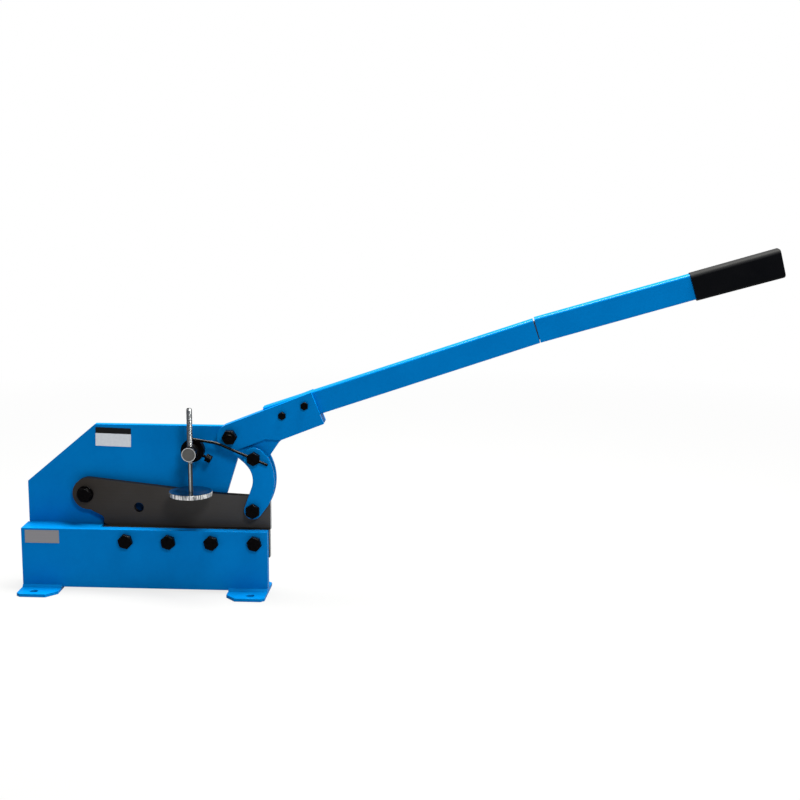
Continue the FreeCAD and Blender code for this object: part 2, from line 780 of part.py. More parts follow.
link_holes = [
    (ZERO, ZERO, size.top_bolt_radius + size.pin_clearance),
    link_span + (bolt_bore,),
]
for label, face in (("front_link", front_link_face), ("rear_link", rear_link_face)):
    link = upright_plate(label, face, size.link_thickness, link_points(), link_holes)
    place(link, top_pin[0], ZERO, top_pin[1])
    nodes.append(link)

low_bolt_length = rear_link_back - front_link_face + size.nut_height + size.bolt_tail
nodes.append(bolt(
    "link_bottom_bolt", low_pin[0], front_link_face, low_pin[1], size.bolt_across, size.bolt_head_height,
    size.bolt_radius, low_bolt_length, corners_up=True))
nodes.append(nut(
    "link_bottom_nut", low_pin[0], rear_link_back, low_pin[1], size.bolt_across, size.nut_height, bolt_bore))

# The upper bolt belongs to the lever; the spring rod runs through a cross hole in its head.
top_seat = front_link_face - size.running_gap
top_nut_seat = rear_link_back + size.running_gap
spring_y = top_seat - size.top_bolt_head / 2
lug_middle = hold_x - size.lug_shift
spring_start = (lug_middle, size.hold_height + size.spring_start_rise)
spring_corner = (spring_start[0] + size.spring_first_run * cosine(size.spring_first_slope),
                 spring_start[1] - size.spring_first_run * sine(size.spring_first_slope))
spring_last_slope = arctangent((spring_corner[1] - top_pin[1]) / (top_pin[0] - spring_corner[0]))
spring_bend = spring_last_slope - size.spring_first_slope
spring_hole = size.spring_radius + size.spring_hole_gap
drill_length = size.top_bolt_across * 2
drill = cylinder("spring_drill", top_pin[0], spring_y, top_pin[1], spring_hole, drill_length)
drill.Placement = FreeCAD.Placement(
    FreeCAD.Vector(0, 0, 0), FreeCAD.Rotation(FreeCAD.Vector(0, 1, 0), 90 + spring_last_slope.number))
bind(drill, "Placement.Rotation.Angle", size.right_angle + spring_last_slope)
place(drill, top_pin[0] - size.top_bolt_across * cosine(spring_last_slope), spring_y,
      top_pin[1] + size.top_bolt_across * sine(spring_last_slope))
nodes.append(less(
    "link_top_bolt",
    bolt("link_top_blank", top_pin[0], top_seat, top_pin[1], size.top_bolt_across, size.top_bolt_head,
         size.top_bolt_radius, top_nut_seat - top_seat + size.top_nut_height + size.bolt_tail,
         corners_up=True),
    drill))
nodes.append(nut(
    "link_top_nut", top_pin[0], top_nut_seat, top_pin[1], size.top_bolt_across, size.top_nut_height,
    size.top_bolt_radius + size.pin_clearance))


# Lever head: front cheek, core with the lobe for the links, spacer bar and rear cheek
# All are drawn about the lever pivot with X along the cheeks.

pin_in_lever = turned(crank, -size.lever_angle)
tube_slack = size.lever_angle - size.inner_tube_angle
tube_low = size.inner_tube_top - size.inner_tube_height


def tube_to_lever(along, rise):
    return turned((along, rise), -tube_slack)


def under_tube(along):
    # Height of the line just below the inner tube, in the lever's own axes
    start = tube_to_lever(size.inner_tube_start, tube_low - size.core_gap)
    return start[1] - (along - start[0]) * tangent(tube_slack)


small_bolts = [(size.small_bolt_one, size.small_bolt_one_rise),
               (size.small_bolt_two, size.small_bolt_two_rise)]
small_hole = size.small_bolt_radius + size.pin_clearance
cheek_round = (size.cheek_top + size.cheek_bottom) / 2
cheek_centre = (ZERO, size.cheek_top - cheek_round)

front_cheek = upright_plate(
    "lever_front_cheek", cheek_face, size.cheek_thickness,
    [
        (size.cheek_length, size.cheek_top),
        (ZERO, size.cheek_top),
        (-cheek_round, cheek_centre[1], cheek_centre, 1),
        (ZERO, -size.cheek_bottom, cheek_centre, 1),
        (size.cheek_step_start, -size.cheek_bottom),
        (size.cheek_step_end, -size.cheek_wide_bottom),
        (size.cheek_length, -size.cheek_wide_bottom),
    ],
    [(ZERO, ZERO, bolt_bore)] + [spot + (small_hole,) for spot in small_bolts])
place(front_cheek, lever_pivot[0], ZERO, lever_pivot[1], size.lever_angle)
nodes.append(front_cheek)


def core_points():
    hub = (ZERO, ZERO)
    hub_radius = size.cheek_top
    hub_left, lobe_left = touch_points(hub, hub_radius, pin_in_lever, size.lobe_radius, -1)
    slope = size.lobe_edge_angle - size.lever_angle
    lobe_right = (pin_in_lever[0] + size.lobe_radius * sine(slope),
                  pin_in_lever[1] - size.lobe_radius * cosine(slope))
    rise = -size.cheek_wide_bottom - lobe_right[1]
    corner = (lobe_right[0] + rise / tangent(slope), -size.cheek_wide_bottom)
    run = size.lobe_fillet * tangent(slope / 2)
    fillet_start = (corner[0] - run * cosine(slope), corner[1] - run * sine(slope))
    fillet_end = (corner[0] + run, corner[1])
    fillet_centre = (fillet_end[0], fillet_end[1] - size.lobe_fillet)
    tube_foot = tube_to_lever(size.inner_tube_start - size.core_gap, tube_low - size.core_gap)
    tube_head_x = tube_foot[0] + (size.cheek_top - tube_foot[1]) * tangent(tube_slack)
    return [
        (size.core_length, -size.cheek_wide_bottom),
        (size.core_length, under_tube(size.core_length)),
        tube_foot,
        (tube_head_x, size.cheek_top),
        (ZERO, hub_radius),
        (-hub_radius, ZERO, hub, 1),
        hub_left + (hub, 1),
        lobe_left,
        lobe_right + (pin_in_lever, 1),
        fillet_start,
        fillet_end + (fillet_centre, -1),
    ]


core = upright_plate(
    "lever_core", blade_face, size.blade_thickness, core_points(),
    [(ZERO, ZERO, bolt_bore), pin_in_lever + (size.top_bolt_radius + size.pin_clearance,)])
place(core, lever_pivot[0], ZERO, lever_pivot[1], size.lever_angle)
nodes.append(core)

spacer = upright_plate(
    "lever_spacer_bar", blade_face, size.tube_depth,
    [
        (size.core_length, -size.cheek_wide_bottom),
        (size.cheek_length, -size.cheek_wide_bottom),
        (size.cheek_length, under_tube(size.cheek_length)),
        (size.core_length, under_tube(size.core_length)),
    ])
place(spacer, lever_pivot[0], ZERO, lever_pivot[1], size.lever_angle)
nodes.append(spacer)

rear_cheek = upright_plate(
    "lever_rear_cheek", tube_rear, size.rear_cheek_thickness,
    corners(size.rear_cheek_start, -size.cheek_wide_bottom, size.cheek_length, size.cheek_top),
    [spot + (small_hole,) for spot in small_bolts])
place(rear_cheek, lever_pivot[0], ZERO, lever_pivot[1], size.lever_angle)
nodes.append(rear_cheek)


# Lever pivot: the bolt's head is behind the body plate, its nut in front of the cheek

lever_nut_seat = cheek_face - size.running_gap
nodes.append(bolt(
    "lever_pivot_bolt", lever_pivot[0], body_rear, lever_pivot[1], size.bolt_across, size.bolt_head_height,
    size.bolt_radius, body_rear - lever_nut_seat + size.nut_height + size.bolt_tail, from_rear=True))
nodes.append(nut(
    "lever_pivot_nut", lever_pivot[0], lever_nut_seat, lever_pivot[1], size.bolt_across, size.nut_height,
    bolt_bore, from_front=True))


# Bolts through the cheeks and the handle tube

rear_cheek_back = tube_rear + size.rear_cheek_thickness
small_bolt_length = rear_cheek_back - cheek_face + size.small_nut_height + size.bolt_tail
handle_bolts = []
handle_nuts = []
for number, (along, rise) in enumerate(small_bolts, start=1):
    x, z = shifted(lever_pivot, turned((along, rise), size.lever_angle))
    handle_bolts.append(bolt(
        "handle_bolt_%d" % number, x, cheek_face, z, size.small_bolt_across, size.small_bolt_head,
        size.small_bolt_radius, small_bolt_length, corners_up=True))
    handle_nuts.append(nut(
        "handle_nut_%d" % number, x, rear_cheek_back, z, size.small_bolt_across, size.small_nut_height,
        small_hole))
nodes.append(group("handle_bolts", handle_bolts))
nodes.append(group("handle_nuts", handle_nuts))


# Handle: inner tube, joiner bar, outer tube and grip

def square_tube(label, start, length, front, low, depth, height):
    body = new_body(label)
    outline = Outline(body, label + "_section", "YZ_Plane", start)
    wall = size.tube_wall
    outline.rounded(front, low, front + depth, low + height, size.tube_corner)
    outline.rounded(front + wall, low + wall, front + depth - wall, low + height - wall,
                    size.tube_corner - wall)
    pad(body, outline, length)
    return body


inner_tube = square_tube(
    "handle_inner_tube", size.inner_tube_start, size.inner_tube_end - size.inner_tube_start, blade_face,
    tube_low, size.tube_depth, size.inner_tube_height)
bolt_holes = Outline(inner_tube, "tube_bolt_holes", "XZ_Plane", -blade_face)
for along, rise in small_bolts:
    x, z = turned((along, rise), tube_slack)
    bolt_holes.circle(x, z, small_hole)
cut(inner_tube, bolt_holes)
place(inner_tube, lever_pivot[0], ZERO, lever_pivot[1], size.inner_tube_angle)
nodes.append(inner_tube)

seam = shifted(lever_pivot, turned((size.inner_tube_end, tube_low), size.inner_tube_angle))

joiner_angle = (size.inner_tube_angle + size.outer_tube_angle) / 2
joiner = upright_plate(
    "handle_joiner", blade_face + size.tube_wall, size.tube_depth - size.tube_wall * 2,
    corners(-size.joiner_length / 2, -size.joiner_height / 2,
            size.joiner_length / 2, size.joiner_height / 2))
joiner_middle = shifted(seam, turned((ZERO, size.joiner_rise), joiner_angle))
place(joiner, joiner_middle[0], ZERO, joiner_middle[1], joiner_angle)
nodes.append(joiner)

outer_tube = square_tube(
    "handle_outer_tube", size.seam_gap, size.outer_tube_length - size.seam_gap, blade_face, ZERO,
    size.tube_depth, size.outer_tube_height)
place(outer_tube, seam[0], ZERO, seam[1], size.outer_tube_angle)
nodes.append(outer_tube)

grip_end = size.outer_tube_length + size.grip_end_wall
grip = new_body("handle_grip")
grip_sections = []
for along, low in ((size.grip_start, -size.grip_wall), (grip_end, -size.grip_wall - size.grip_flare)):
    outline = Outline(grip, "grip_section", "YZ_Plane", along)
    outline.rounded(
        blade_face - size.grip_side_wall, low, tube_rear + size.grip_side_wall,
        size.outer_tube_height + size.grip_wall, size.grip_corner)
    grip_sections.append(outline.sketch)
doc.recompute()
sleeve = grip.newObject("PartDesign::AdditiveLoft", "grip_sleeve")
sleeve.Profile = grip_sections[0]
sleeve.Sections = grip_sections[1:]
sleeve.Ruled = True
grip.Tip = sleeve
grip_hollow = Outline(grip, "grip_hollow", "YZ_Plane", size.grip_start)
grip_hollow.rounded(blade_face, ZERO, tube_rear, size.outer_tube_height, size.tube_corner)
cut(grip, grip_hollow, size.outer_tube_length - size.grip_start, reverse=True)
place(grip, seam[0], ZERO, seam[1], size.outer_tube_angle)
nodes.append(grip)


# Hold-down: rod fixed to the body plate, spindle screwed through it, swivelling pad

stud_length = size.body_thickness + size.nut_height + size.bolt_tail
nodes.append(less(
    "hold_down_rod",
    fused("hold_down_blank", [
        cylinder("hold_down_bar", hold_x, size.hold_rod_front, size.hold_height, size.hold_rod_radius,
                 body_face - size.hold_rod_front),
        cylinder("hold_down_stud", hold_x, body_face, size.hold_height, size.bolt_radius, stud_length),
    ]),
    cylinder("spindle_hole", hold_x, size.spindle_setback, size.hold_height - size.hold_rod_radius * 2,
             size.spindle_thread_radius + size.pin_clearance, size.hold_rod_radius * 4, UPRIGHT)))
nodes.append(nut(
    "hold_down_nut", hold_x, body_rear, size.hold_height, size.bolt_across, size.nut_height, bolt_bore))

pad_low = size.pad_top - size.pad_thickness
flange_top = size.pad_top - size.pad_lid - size.running_gap
flange_low = flange_top - size.spindle_foot_height


def turned_piece(label, points):
    # A solid of revolution about the spindle's axis, from its half section (radius, height)
    body = new_body(label)
    outline = Outline(body, label + "_section", "XZ_Plane", ZERO)
    outline.path(points)
    feature = body.newObject("PartDesign::Revolution", label + "_turning")
    feature.Profile = outline.sketch
    feature.ReferenceAxis = (outline.sketch, ["V_Axis"])
    feature.Angle = 360
    body.Tip = feature
    place(body, hold_x, size.spindle_setback, ZERO)
    return body


nodes.append(turned_piece("hold_down_spindle", [
    (ZERO, flange_low),
    (size.spindle_foot_radius, flange_low),
    (size.spindle_foot_radius, flange_top),
    (size.spindle_neck_radius, flange_top),
    (size.spindle_neck_radius, size.spindle_thread_low),
    (size.spindle_thread_radius, size.spindle_thread_low),
    (size.spindle_thread_radius, size.spindle_top - size.pad_chamfer),
    (size.spindle_thread_radius - size.pad_chamfer, size.spindle_top),
    (ZERO, size.spindle_top),
]))
nodes.append(turned_piece("hold_down_pad", [
    (ZERO, pad_low),
    (size.pad_radius - size.pad_chamfer, pad_low),
    (size.pad_radius, pad_low + size.pad_chamfer),
    (size.pad_radius, size.pad_top - size.pad_chamfer),
    (size.pad_radius - size.pad_chamfer, size.pad_top),
    (size.spindle_neck_radius + size.running_gap, size.pad_top),
    (size.spindle_neck_radius + size.running_gap, size.pad_top - size.pad_lid),
    (size.spindle_foot_radius + size.running_gap, size.pad_top - size.pad_lid),
    (size.spindle_foot_radius + size.running_gap, flange_low - size.running_gap),
    (ZERO, flange_low - size.running_gap),
]))


# Collar on the hold-down rod, its thumb screw, and the spring rod that runs to the lever

collar_front = spring_y - size.collar_lead
collar_middle = collar_front + size.collar_width / 2
ring = cylinder("collar_ring", hold_x, collar_front, size.hold_height, size.collar_radius, size.collar_width)
lug = block("collar_lug", lug_middle - size.lug_length / 2, spring_y - size.lug_depth / 2,
            size.hold_height, size.lug_length, size.lug_depth, size.lug_top)
collar_bore = cylinder("collar_bore", hold_x, collar_front - size.collar_width, size.hold_height,
                       size.hold_rod_radius + size.pin_clearance, size.collar_width * 3)


def thumb_cylinder(label, start, radius, length):
    # Along the thumb screw's axis, from a distance start off the rod's axis
    solid = cylinder(label, ZERO, ZERO, ZERO, radius, length)
    solid.Placement = FreeCAD.Placement(
        FreeCAD.Vector(0, 0, 0), FreeCAD.Rotation(FreeCAD.Vector(0, 1, 0), 90 + size.thumb_angle.number))
    bind(solid, "Placement.Rotation.Angle", size.right_angle + size.thumb_angle)
    place(solid, hold_x + start * cosine(size.thumb_angle), collar_middle,
          size.hold_height - start * sine(size.thumb_angle))
    return solid


screw_start = size.hold_rod_radius + size.pin_clearance
screw_end = screw_start + size.thumb_screw_length
screw_hole = thumb_cylinder(
    "collar_screw_hole", ZERO, size.thumb_screw_radius + size.pin_clearance, screw_end)
lug_hole = cylinder("lug_hole", ZERO, ZERO, ZERO, spring_hole, size.lug_length * 2)
lug_hole.Placement = FreeCAD.Placement(
    FreeCAD.Vector(0, 0, 0), FreeCAD.Rotation(FreeCAD.Vector(0, 1, 0), 90 + size.spring_first_slope.number))
bind(lug_hole, "Placement.Rotation.Angle", size.right_angle + size.spring_first_slope)
place(lug_hole, spring_start[0], spring_y, spring_start[1])
nodes.append(less(
    "spring_collar", fused("collar_blank", [ring, lug]),
    fused("collar_holes", [collar_bore, screw_hole, lug_hole])))
nodes.append(fused("collar_thumb_screw", [
    thumb_cylinder("thumb_shank", screw_start, size.thumb_screw_radius, size.thumb_screw_length),
    thumb_cylinder("thumb_knob", screw_end, size.knob_radius, size.knob_length),
]))

# The spring rod is drawn from its left end, with X along its first run.
spring = new_body("spring_rod")
route = Outline(spring, "spring_route", "XZ_Plane", -spring_y)
bend_run = size.spring_bend_radius * tangent(spring_bend / 2)
bend_start = (size.spring_first_run - bend_run, ZERO)
bend_centre = (bend_start[0], -size.spring_bend_radius)
bend_end = on_circle(bend_centre, size.spring_bend_radius, size.right_angle - spring_bend)
last_length = size.spring_last_run - bend_run
route.path([
    (ZERO, ZERO),
    bend_start,
    bend_end + (bend_centre, -1),
    (bend_end[0] + last_length * cosine(spring_bend),
     bend_end[1] - last_length * sine(spring_bend)),
], closed=False)
wire_section = Outline(spring, "spring_section", "YZ_Plane", ZERO)
wire_section.circle(spring_y, ZERO, size.spring_radius)
doc.recompute()
pipe = spring.newObject("PartDesign::AdditivePipe", "spring_pipe")
pipe.Profile = wire_section.sketch
pipe.Spine = (route.sketch, ["Edge1", "Edge2", "Edge3"])
spring.Tip = pipe
place(spring, spring_start[0], ZERO, spring_start[1], -size.spring_first_slope)
nodes.append(spring)


# Bare plates: one on the body, one on the front plate

data_plate = block("data_plate", ZERO, ZERO, ZERO, size.data_plate_length, size.label_thickness,
                   size.data_plate_height)
data_plate_drop = size.data_plate_length * sine(size.data_plate_tilt)
place(data_plate, left_end + size.data_plate_along, body_face - size.label_thickness,
      size.data_plate_low + data_plate_drop / 2, -size.data_plate_tilt)
nodes.append(data_plate)
nodes.append(block(
    "base_label", left_end + size.base_label_along, front_face - size.label_thickness, size.base_label_low,
    size.base_label_length, size.label_thickness, size.base_label_height))


# Checks and export

doc.recompute()
for thing in doc.Objects:
    if "Invalid" in thing.State or "Error" in thing.State:
        raise RuntimeError("%s: %s" % (thing.Label, thing.State))
for node in nodes:
    if node.Shape.isNull() or not node.Shape.isValid() or not node.Shape.Solids:
        raise RuntimeError("bad shape: " + node.Label)
os.makedirs("parts", exist_ok=True)
for node in nodes:
    node.Shape.exportStep("parts/%s.step" % node.Label)
    print(node.Label, len(node.Shape.Solids), round(node.Shape.Volume))
print(len(nodes), "nodes")
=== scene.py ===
import json
import math

import bpy
from mathutils import Matrix, Vector


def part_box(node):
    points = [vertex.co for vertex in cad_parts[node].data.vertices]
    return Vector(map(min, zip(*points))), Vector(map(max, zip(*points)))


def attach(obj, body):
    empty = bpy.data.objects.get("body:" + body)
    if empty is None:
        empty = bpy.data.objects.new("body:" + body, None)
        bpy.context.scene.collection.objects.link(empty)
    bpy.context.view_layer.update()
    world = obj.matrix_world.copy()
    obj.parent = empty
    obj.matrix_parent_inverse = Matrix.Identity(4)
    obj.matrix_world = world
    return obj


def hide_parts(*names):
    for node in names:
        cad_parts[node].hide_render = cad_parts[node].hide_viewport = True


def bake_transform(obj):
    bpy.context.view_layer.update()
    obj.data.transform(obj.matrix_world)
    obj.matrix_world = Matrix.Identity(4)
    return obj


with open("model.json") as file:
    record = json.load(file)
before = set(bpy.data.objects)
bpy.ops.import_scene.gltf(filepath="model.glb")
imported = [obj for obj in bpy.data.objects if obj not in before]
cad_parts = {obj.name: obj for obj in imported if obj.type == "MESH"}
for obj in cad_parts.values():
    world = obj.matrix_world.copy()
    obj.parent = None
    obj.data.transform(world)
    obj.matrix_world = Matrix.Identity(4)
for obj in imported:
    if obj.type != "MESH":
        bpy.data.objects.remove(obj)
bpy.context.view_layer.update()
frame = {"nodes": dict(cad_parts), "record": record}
print("frame loaded,", len(frame["nodes"]), "nodes")

mm = 0.001
hair = 0.01 * mm        # closer than this counts as the same place


# Shader sums: a Value is one socket, and the usual signs add Math nodes

class Value:
    def __init__(self, finish, socket):
        self.finish = finish
        self.socket = socket

    def sum(self, operation, first, second):
        return self.finish.add("ShaderNodeMath", {"operation": operation}, {0: first, 1: second})

    def __add__(self, other):
        return self.sum("ADD", self, other)

    def __radd__(self, other):
        return self.sum("ADD", other, self)

    def __sub__(self, other):
        return self.sum("SUBTRACT", self, other)

    def __rsub__(self, other):
        return self.sum("SUBTRACT", other, self)

    def __mul__(self, other):
        return self.sum("MULTIPLY", self, other)

    def __rmul__(self, other):
        return self.sum("MULTIPLY", other, self)

    def above(self, other):
        return self.sum("GREATER_THAN", self, other)

    def size(self):
        return self.sum("ABSOLUTE", self, 0.0)


class Finish:
    def __init__(self, name, **constants):
        # Constants are named as the shader's sockets, with _ for a space
        self.material = bpy.data.materials.new(name)
        self.material.use_nodes = True
        self.tree = self.material.node_tree
        self.shader = self.tree.nodes["Principled BSDF"]
        for socketName, constant in constants.items():
            self.shader.inputs[socketName.replace("_", " ")].default_value = constant

    def add(self, kind, settings=None, inputs=None, output=0):
        # Settings go first, because some of them change the sockets
        node = self.tree.nodes.new(kind)
        for name, setting in (settings or {}).items():
            setattr(node, name, setting)
        for name, given in (inputs or {}).items():
            if isinstance(given, Value):
                self.tree.links.new(given.socket, node.inputs[name])
            else:
                node.inputs[name].default_value = given
        return Value(self, node.outputs[output])

    def place(self, scale=(1, 1, 1), turn=(0, 0, 0), origin=(0, 0, 0)):
        # Object coordinates, moved to an origin first, then turned and stretched
        coordinates = self.add("ShaderNodeTexCoord", output="Object")
        moved = self.add("ShaderNodeVectorMath", {"operation": "SUBTRACT"}, {0: coordinates, 1: origin})
        return self.add("ShaderNodeMapping", {}, {"Vector": moved, "Rotation": turn, "Scale": scale})

    def noise(self, where, scale, detail=3.0, roughness=0.5):
        return self.add("ShaderNodeTexNoise", {}, {
            "Vector": where, "Scale": scale, "Detail": detail, "Roughness": roughness})

    def mix(self, factor, first, second):
        settings = {"data_type": "RGBA"}
        return self.add("ShaderNodeMix", settings, {0: factor, 6: first, 7: second}, output=2)

    def spread(self, value, low, high, newLow=0.0, newHigh=1.0):
        return self.add("ShaderNodeMapRange", {"clamp": True}, {
            "Value": value, "From Min": low, "From Max": high, "To Min": newLow, "To Max": newHigh})

    def bump(self, height, strength, distance):
        return self.add("ShaderNodeBump", {}, {
            "Height": height, "Strength": strength, "Distance": distance})

    def facing(self, axis):
        # How far the surface faces along an axis, either way, from 0 to 1
        normal = self.add("ShaderNodeTexCoord", output="Normal")
        return self.add("ShaderNodeSeparateXYZ", {}, {0: normal}, output=axis).size()

    def upward(self):
        # How far the surface faces up, from -1 to 1
        normal = self.add("ShaderNodeTexCoord", output="Normal")
        return self.add("ShaderNodeSeparateXYZ", {}, {0: normal}, output="Z")

    def along(self, axis, origin=(0, 0, 0)):
        return self.add("ShaderNodeSeparateXYZ", {}, {0: self.place(origin=origin)}, output=axis)

    def radial(self, centre, axes):
        # Distance from a centre, counted only along the axes given as 1
        counted = self.add("ShaderNodeVectorMath", {"operation": "MULTIPLY"}, {
            0: self.place(origin=centre), 1: axes})
        return self.add("ShaderNodeVectorMath", {"operation": "LENGTH"}, {0: counted}, output="Value")

    def wear(self, **links):
        for socketName, value in links.items():
            self.tree.links.new(value.socket, self.shader.inputs[socketName.replace("_", " ")])
        return self.material


def colour(red, green, blue):
    return (red, green, blue, 1.0)


# Blue enamel, faintly wavy, with painted shade on the body plate behind the blade's round-bar hole

paintLook = {
    "light": colour(0.0, 0.165, 0.495),
    "dark": colour(0.0, 0.149, 0.457),
    "paintedHoleShade": colour(0.0, 0.02, 0.075),
    "holeShadeAt": (-18 * mm, 76.6 * mm, 146 * mm),
    "holeShadeReach": (8 * mm, 13.5 * mm),
    "roughness": (0.26, 0.40),
    "topGloss": 0.3,
}


def makeBluePaint():
    finish = Finish("blueEnamel", IOR=1.45, Coat_Roughness=0.25, Specular_IOR_Level=0.01)
    where = finish.place()
    broad = finish.noise(where, 14.0, 2.0)
    speckle = finish.noise(where, 160.0, 4.0)
    peel = finish.noise(where, 420.0, 2.0)
    shade = finish.spread(broad * 0.7 + speckle * 0.3, 0.35, 0.65)
    dull = finish.spread(speckle, 0.3, 0.7, *paintLook["roughness"])
    paint = finish.mix(shade, paintLook["dark"], paintLook["light"])
    # Painted shade: the body plate darkened about the place where the blade's round-bar hole lies over
    # it
    outsideHoleShade = finish.spread(finish.radial(paintLook["holeShadeAt"], (1, 1, 1)), *paintLook["holeShadeReach"])
    return finish.wear(
        Base_Color=finish.mix(outsideHoleShade, paintLook["paintedHoleShade"], paint),
        Roughness=dull,
        Coat_Weight=finish.spread(finish.upward(), 0.4, 0.95, 0.0, paintLook["topGloss"]),
        Normal=finish.bump(peel + broad * 2.0, 0.03, 0.00008))


# Blade steel: dark, drawn lengthwise and lighter to the right; its ground right end is paler, brightened
# further as a painted highlight from the right

bladeLook = {
    "dark": colour(0.025, 0.020, 0.0165),
    "light": colour(0.060, 0.059, 0.060),
    "top": colour(0.010, 0.009, 0.008),
    "groundAndLitEnd": colour(0.30, 0.31, 0.33),
    "litEndFrom": 200 * mm,
    "lightens": (-100 * mm, 220 * mm),
    "roughness": (0.36, 0.58),
}


def makeBladeSteel():
    finish = Finish("bladeSteel", Metallic=0.15, Specular_IOR_Level=0.12)
    where = finish.place()
    streaks = finish.noise(finish.place(scale=(9.0, 60.0, 420.0)), 1.0, 5.0, 0.65)
    cloud = finish.noise(where, 11.0, 3.0)
    grain = finish.noise(where, 900.0, 2.0)
    across = finish.along("X")
    rightward = finish.spread(across, *bladeLook["lightens"])
    tone = finish.spread(rightward * 0.55 + streaks * 0.25 + cloud * 0.35, 0.2, 1.0)
    face = finish.mix(tone, bladeLook["dark"], bladeLook["light"])
    face = finish.mix(finish.spread(finish.upward(), 0.6, 0.9), face, bladeLook["top"])
    # Ground steel at the right end, made brighter as a painted highlight of light from the right
    litCutEnd = finish.spread(finish.facing("X"), 0.80, 0.95) * across.above(bladeLook["litEndFrom"])
    return finish.wear(
        Base_Color=finish.mix(litCutEnd, face, bladeLook["groundAndLitEnd"]),
        Roughness=finish.spread(streaks + grain * 0.3, 0.4, 0.9, *bladeLook["roughness"]),
        Normal=finish.bump(streaks + grain * 0.4, 0.15, 0.00006))


# Black oxide on the fasteners, collar and spring rod, a little oily on what faces up

oxideLook = {
    "dark": colour(0.0007, 0.0006, 0.0008),
    "light": colour(0.0032, 0.0027, 0.0030),
    "roughness": (0.28, 0.5),
    "topGloss": 0.35,
}


def makeBlackSteel():
    finish = Finish("blackOxide", Coat_Roughness=0.25, Specular_IOR_Level=0.02)
    where = finish.place()
    spots = finish.noise(where, 300.0, 4.0)
    fine = finish.noise(where, 1800.0, 2.0)
    return finish.wear(
        Base_Color=finish.mix(finish.spread(spots, 0.35, 0.7), oxideLook["dark"], oxideLook["light"]),
        Roughness=finish.spread(spots, 0.3, 0.7, *oxideLook["roughness"]),
        Coat_Weight=finish.spread(finish.upward(), 0.1, 0.7, 0.0, oxideLook["topGloss"]),
        Normal=finish.bump(fine, 0.1, 0.00003))


# Zinc: the rod's sawn face is dull inside a painted highlight round its rim, the spindle's neck darker
# than its thread

zincLook = {
    "rodAxis": (90 * mm, 0, 262 * mm),
    "rimHighlightReach": (11.3 * mm, 11.8 * mm),
    "rodReach": (12.9 * mm, 13.2 * mm),
    "neckTop": (243 * mm, 246 * mm),
    "thread": (colour(0.17, 0.18, 0.20), colour(0.33, 0.34, 0.36)),
    "neck": colour(0.052, 0.057, 0.058),
    "rodSide": colour(0.05, 0.052, 0.056),
    "sawn": (colour(0.07, 0.07, 0.067), colour(0.16, 0.16, 0.156)),
    # rim: a painted highlight round the edge of the rod's sawn face
    "rim": colour(0.55, 0.56, 0.57),
}


def makeZincSteel():
    finish = Finish("brightZinc", Metallic=1.0)
    where = finish.place()
    haze = finish.noise(where, 90.0, 4.0)
    fine = finish.noise(finish.place(scale=(1500.0, 120.0, 1500.0)), 1.0, 2.0)
    faceOn = finish.spread(finish.facing("Y"), 0.9, 0.98)
    bright = finish.mix(haze, *zincLook["thread"])
    sawn = finish.mix(haze, *zincLook["sawn"])
    reach = finish.radial(zincLook["rodAxis"], (1, 0, 1))
    # Painted highlight: the sawn face brightened in a ring at its edge
    rim = finish.spread(reach, *zincLook["rimHighlightReach"])
    threaded = finish.spread(finish.along("Z"), *zincLook["neckTop"])
    spindle = finish.mix(threaded, zincLook["neck"], bright)
    side = finish.mix(finish.spread(reach, *zincLook["rodReach"]), zincLook["rodSide"], spindle)
    return finish.wear(
        Base_Color=finish.mix(faceOn, side, finish.mix(rim, sawn, zincLook["rim"])),
        Roughness=finish.spread(haze, 0.3, 0.7, 0.22, 0.36) + faceOn * 0.18 + (1 - threaded) * 0.36,
        Normal=finish.bump(fine, 0.12, 0.00003))


# Turned and polished pad: fine rings about the spindle, a streaky rim, and blue-grey tones on top as a
# painted reflection of the blue body plate

chromeLook = {
    "centre": (90 * mm, 21 * mm, 190 * mm),
    "rings": 14000.0,       # their phase in radians for each metre outwards
    "rim": (colour(0.16, 0.17, 0.18), colour(0.74, 0.73, 0.74)),
    # top: blue-grey tones, a painted reflection of the blue body plate
    "top": (colour(0.17, 0.20, 0.24), colour(0.27, 0.30, 0.34)),
}


def makePadChrome():
    finish = Finish("polishedPad")
    centre = chromeLook["centre"]
    rings = finish.add("ShaderNodeMath", {"operation": "SINE"}, {
        0: finish.radial(centre, (1, 1, 0)) * chromeLook["rings"]})
    haze = finish.noise(finish.place(origin=centre), 60.0, 3.0)
    streaks = finish.noise(finish.place(scale=(330.0, 330.0, 60.0), origin=centre), 1.0, 3.0, 0.6)
    rim = finish.mix(finish.spread(streaks, 0.42, 0.58), *chromeLook["rim"])
    top = finish.mix(haze, *chromeLook["top"])
    level = finish.spread(finish.facing("Z"), 0.85, 0.97)
    return finish.wear(
        Base_Color=finish.mix(level, rim, top),
        Metallic=level * 0.5 + 0.5,
        Roughness=finish.spread(haze, 0.3, 0.7, 0.12, 0.24) + finish.facing("Y") * 0.15,
        Normal=finish.bump(rings * 0.5 + haze, 0.10, 0.00002))


# Rolled steel of the bar inside the tubes, seen only in their seam, made very dark as painted shade in
# that seam

seamShadedTones = (colour(0.008, 0.009, 0.012), colour(0.022, 0.023, 0.026))


def makeBareSteel():
    finish = Finish("rolledSteel", Metallic=0.3)
    scaleMarks = finish.noise(finish.place(), 120.0, 5.0)
    return finish.wear(
        Base_Color=finish.mix(scaleMarks, *seamShadedTones),
        Roughness=finish.spread(scaleMarks, 0.3, 0.7, 0.4, 0.6),
        Normal=finish.bump(scaleMarks, 0.1, 0.0001))


# Black grip: satin moulding with a fine leathery grain, paler on what faces up as a painted highlight
# with settled dust

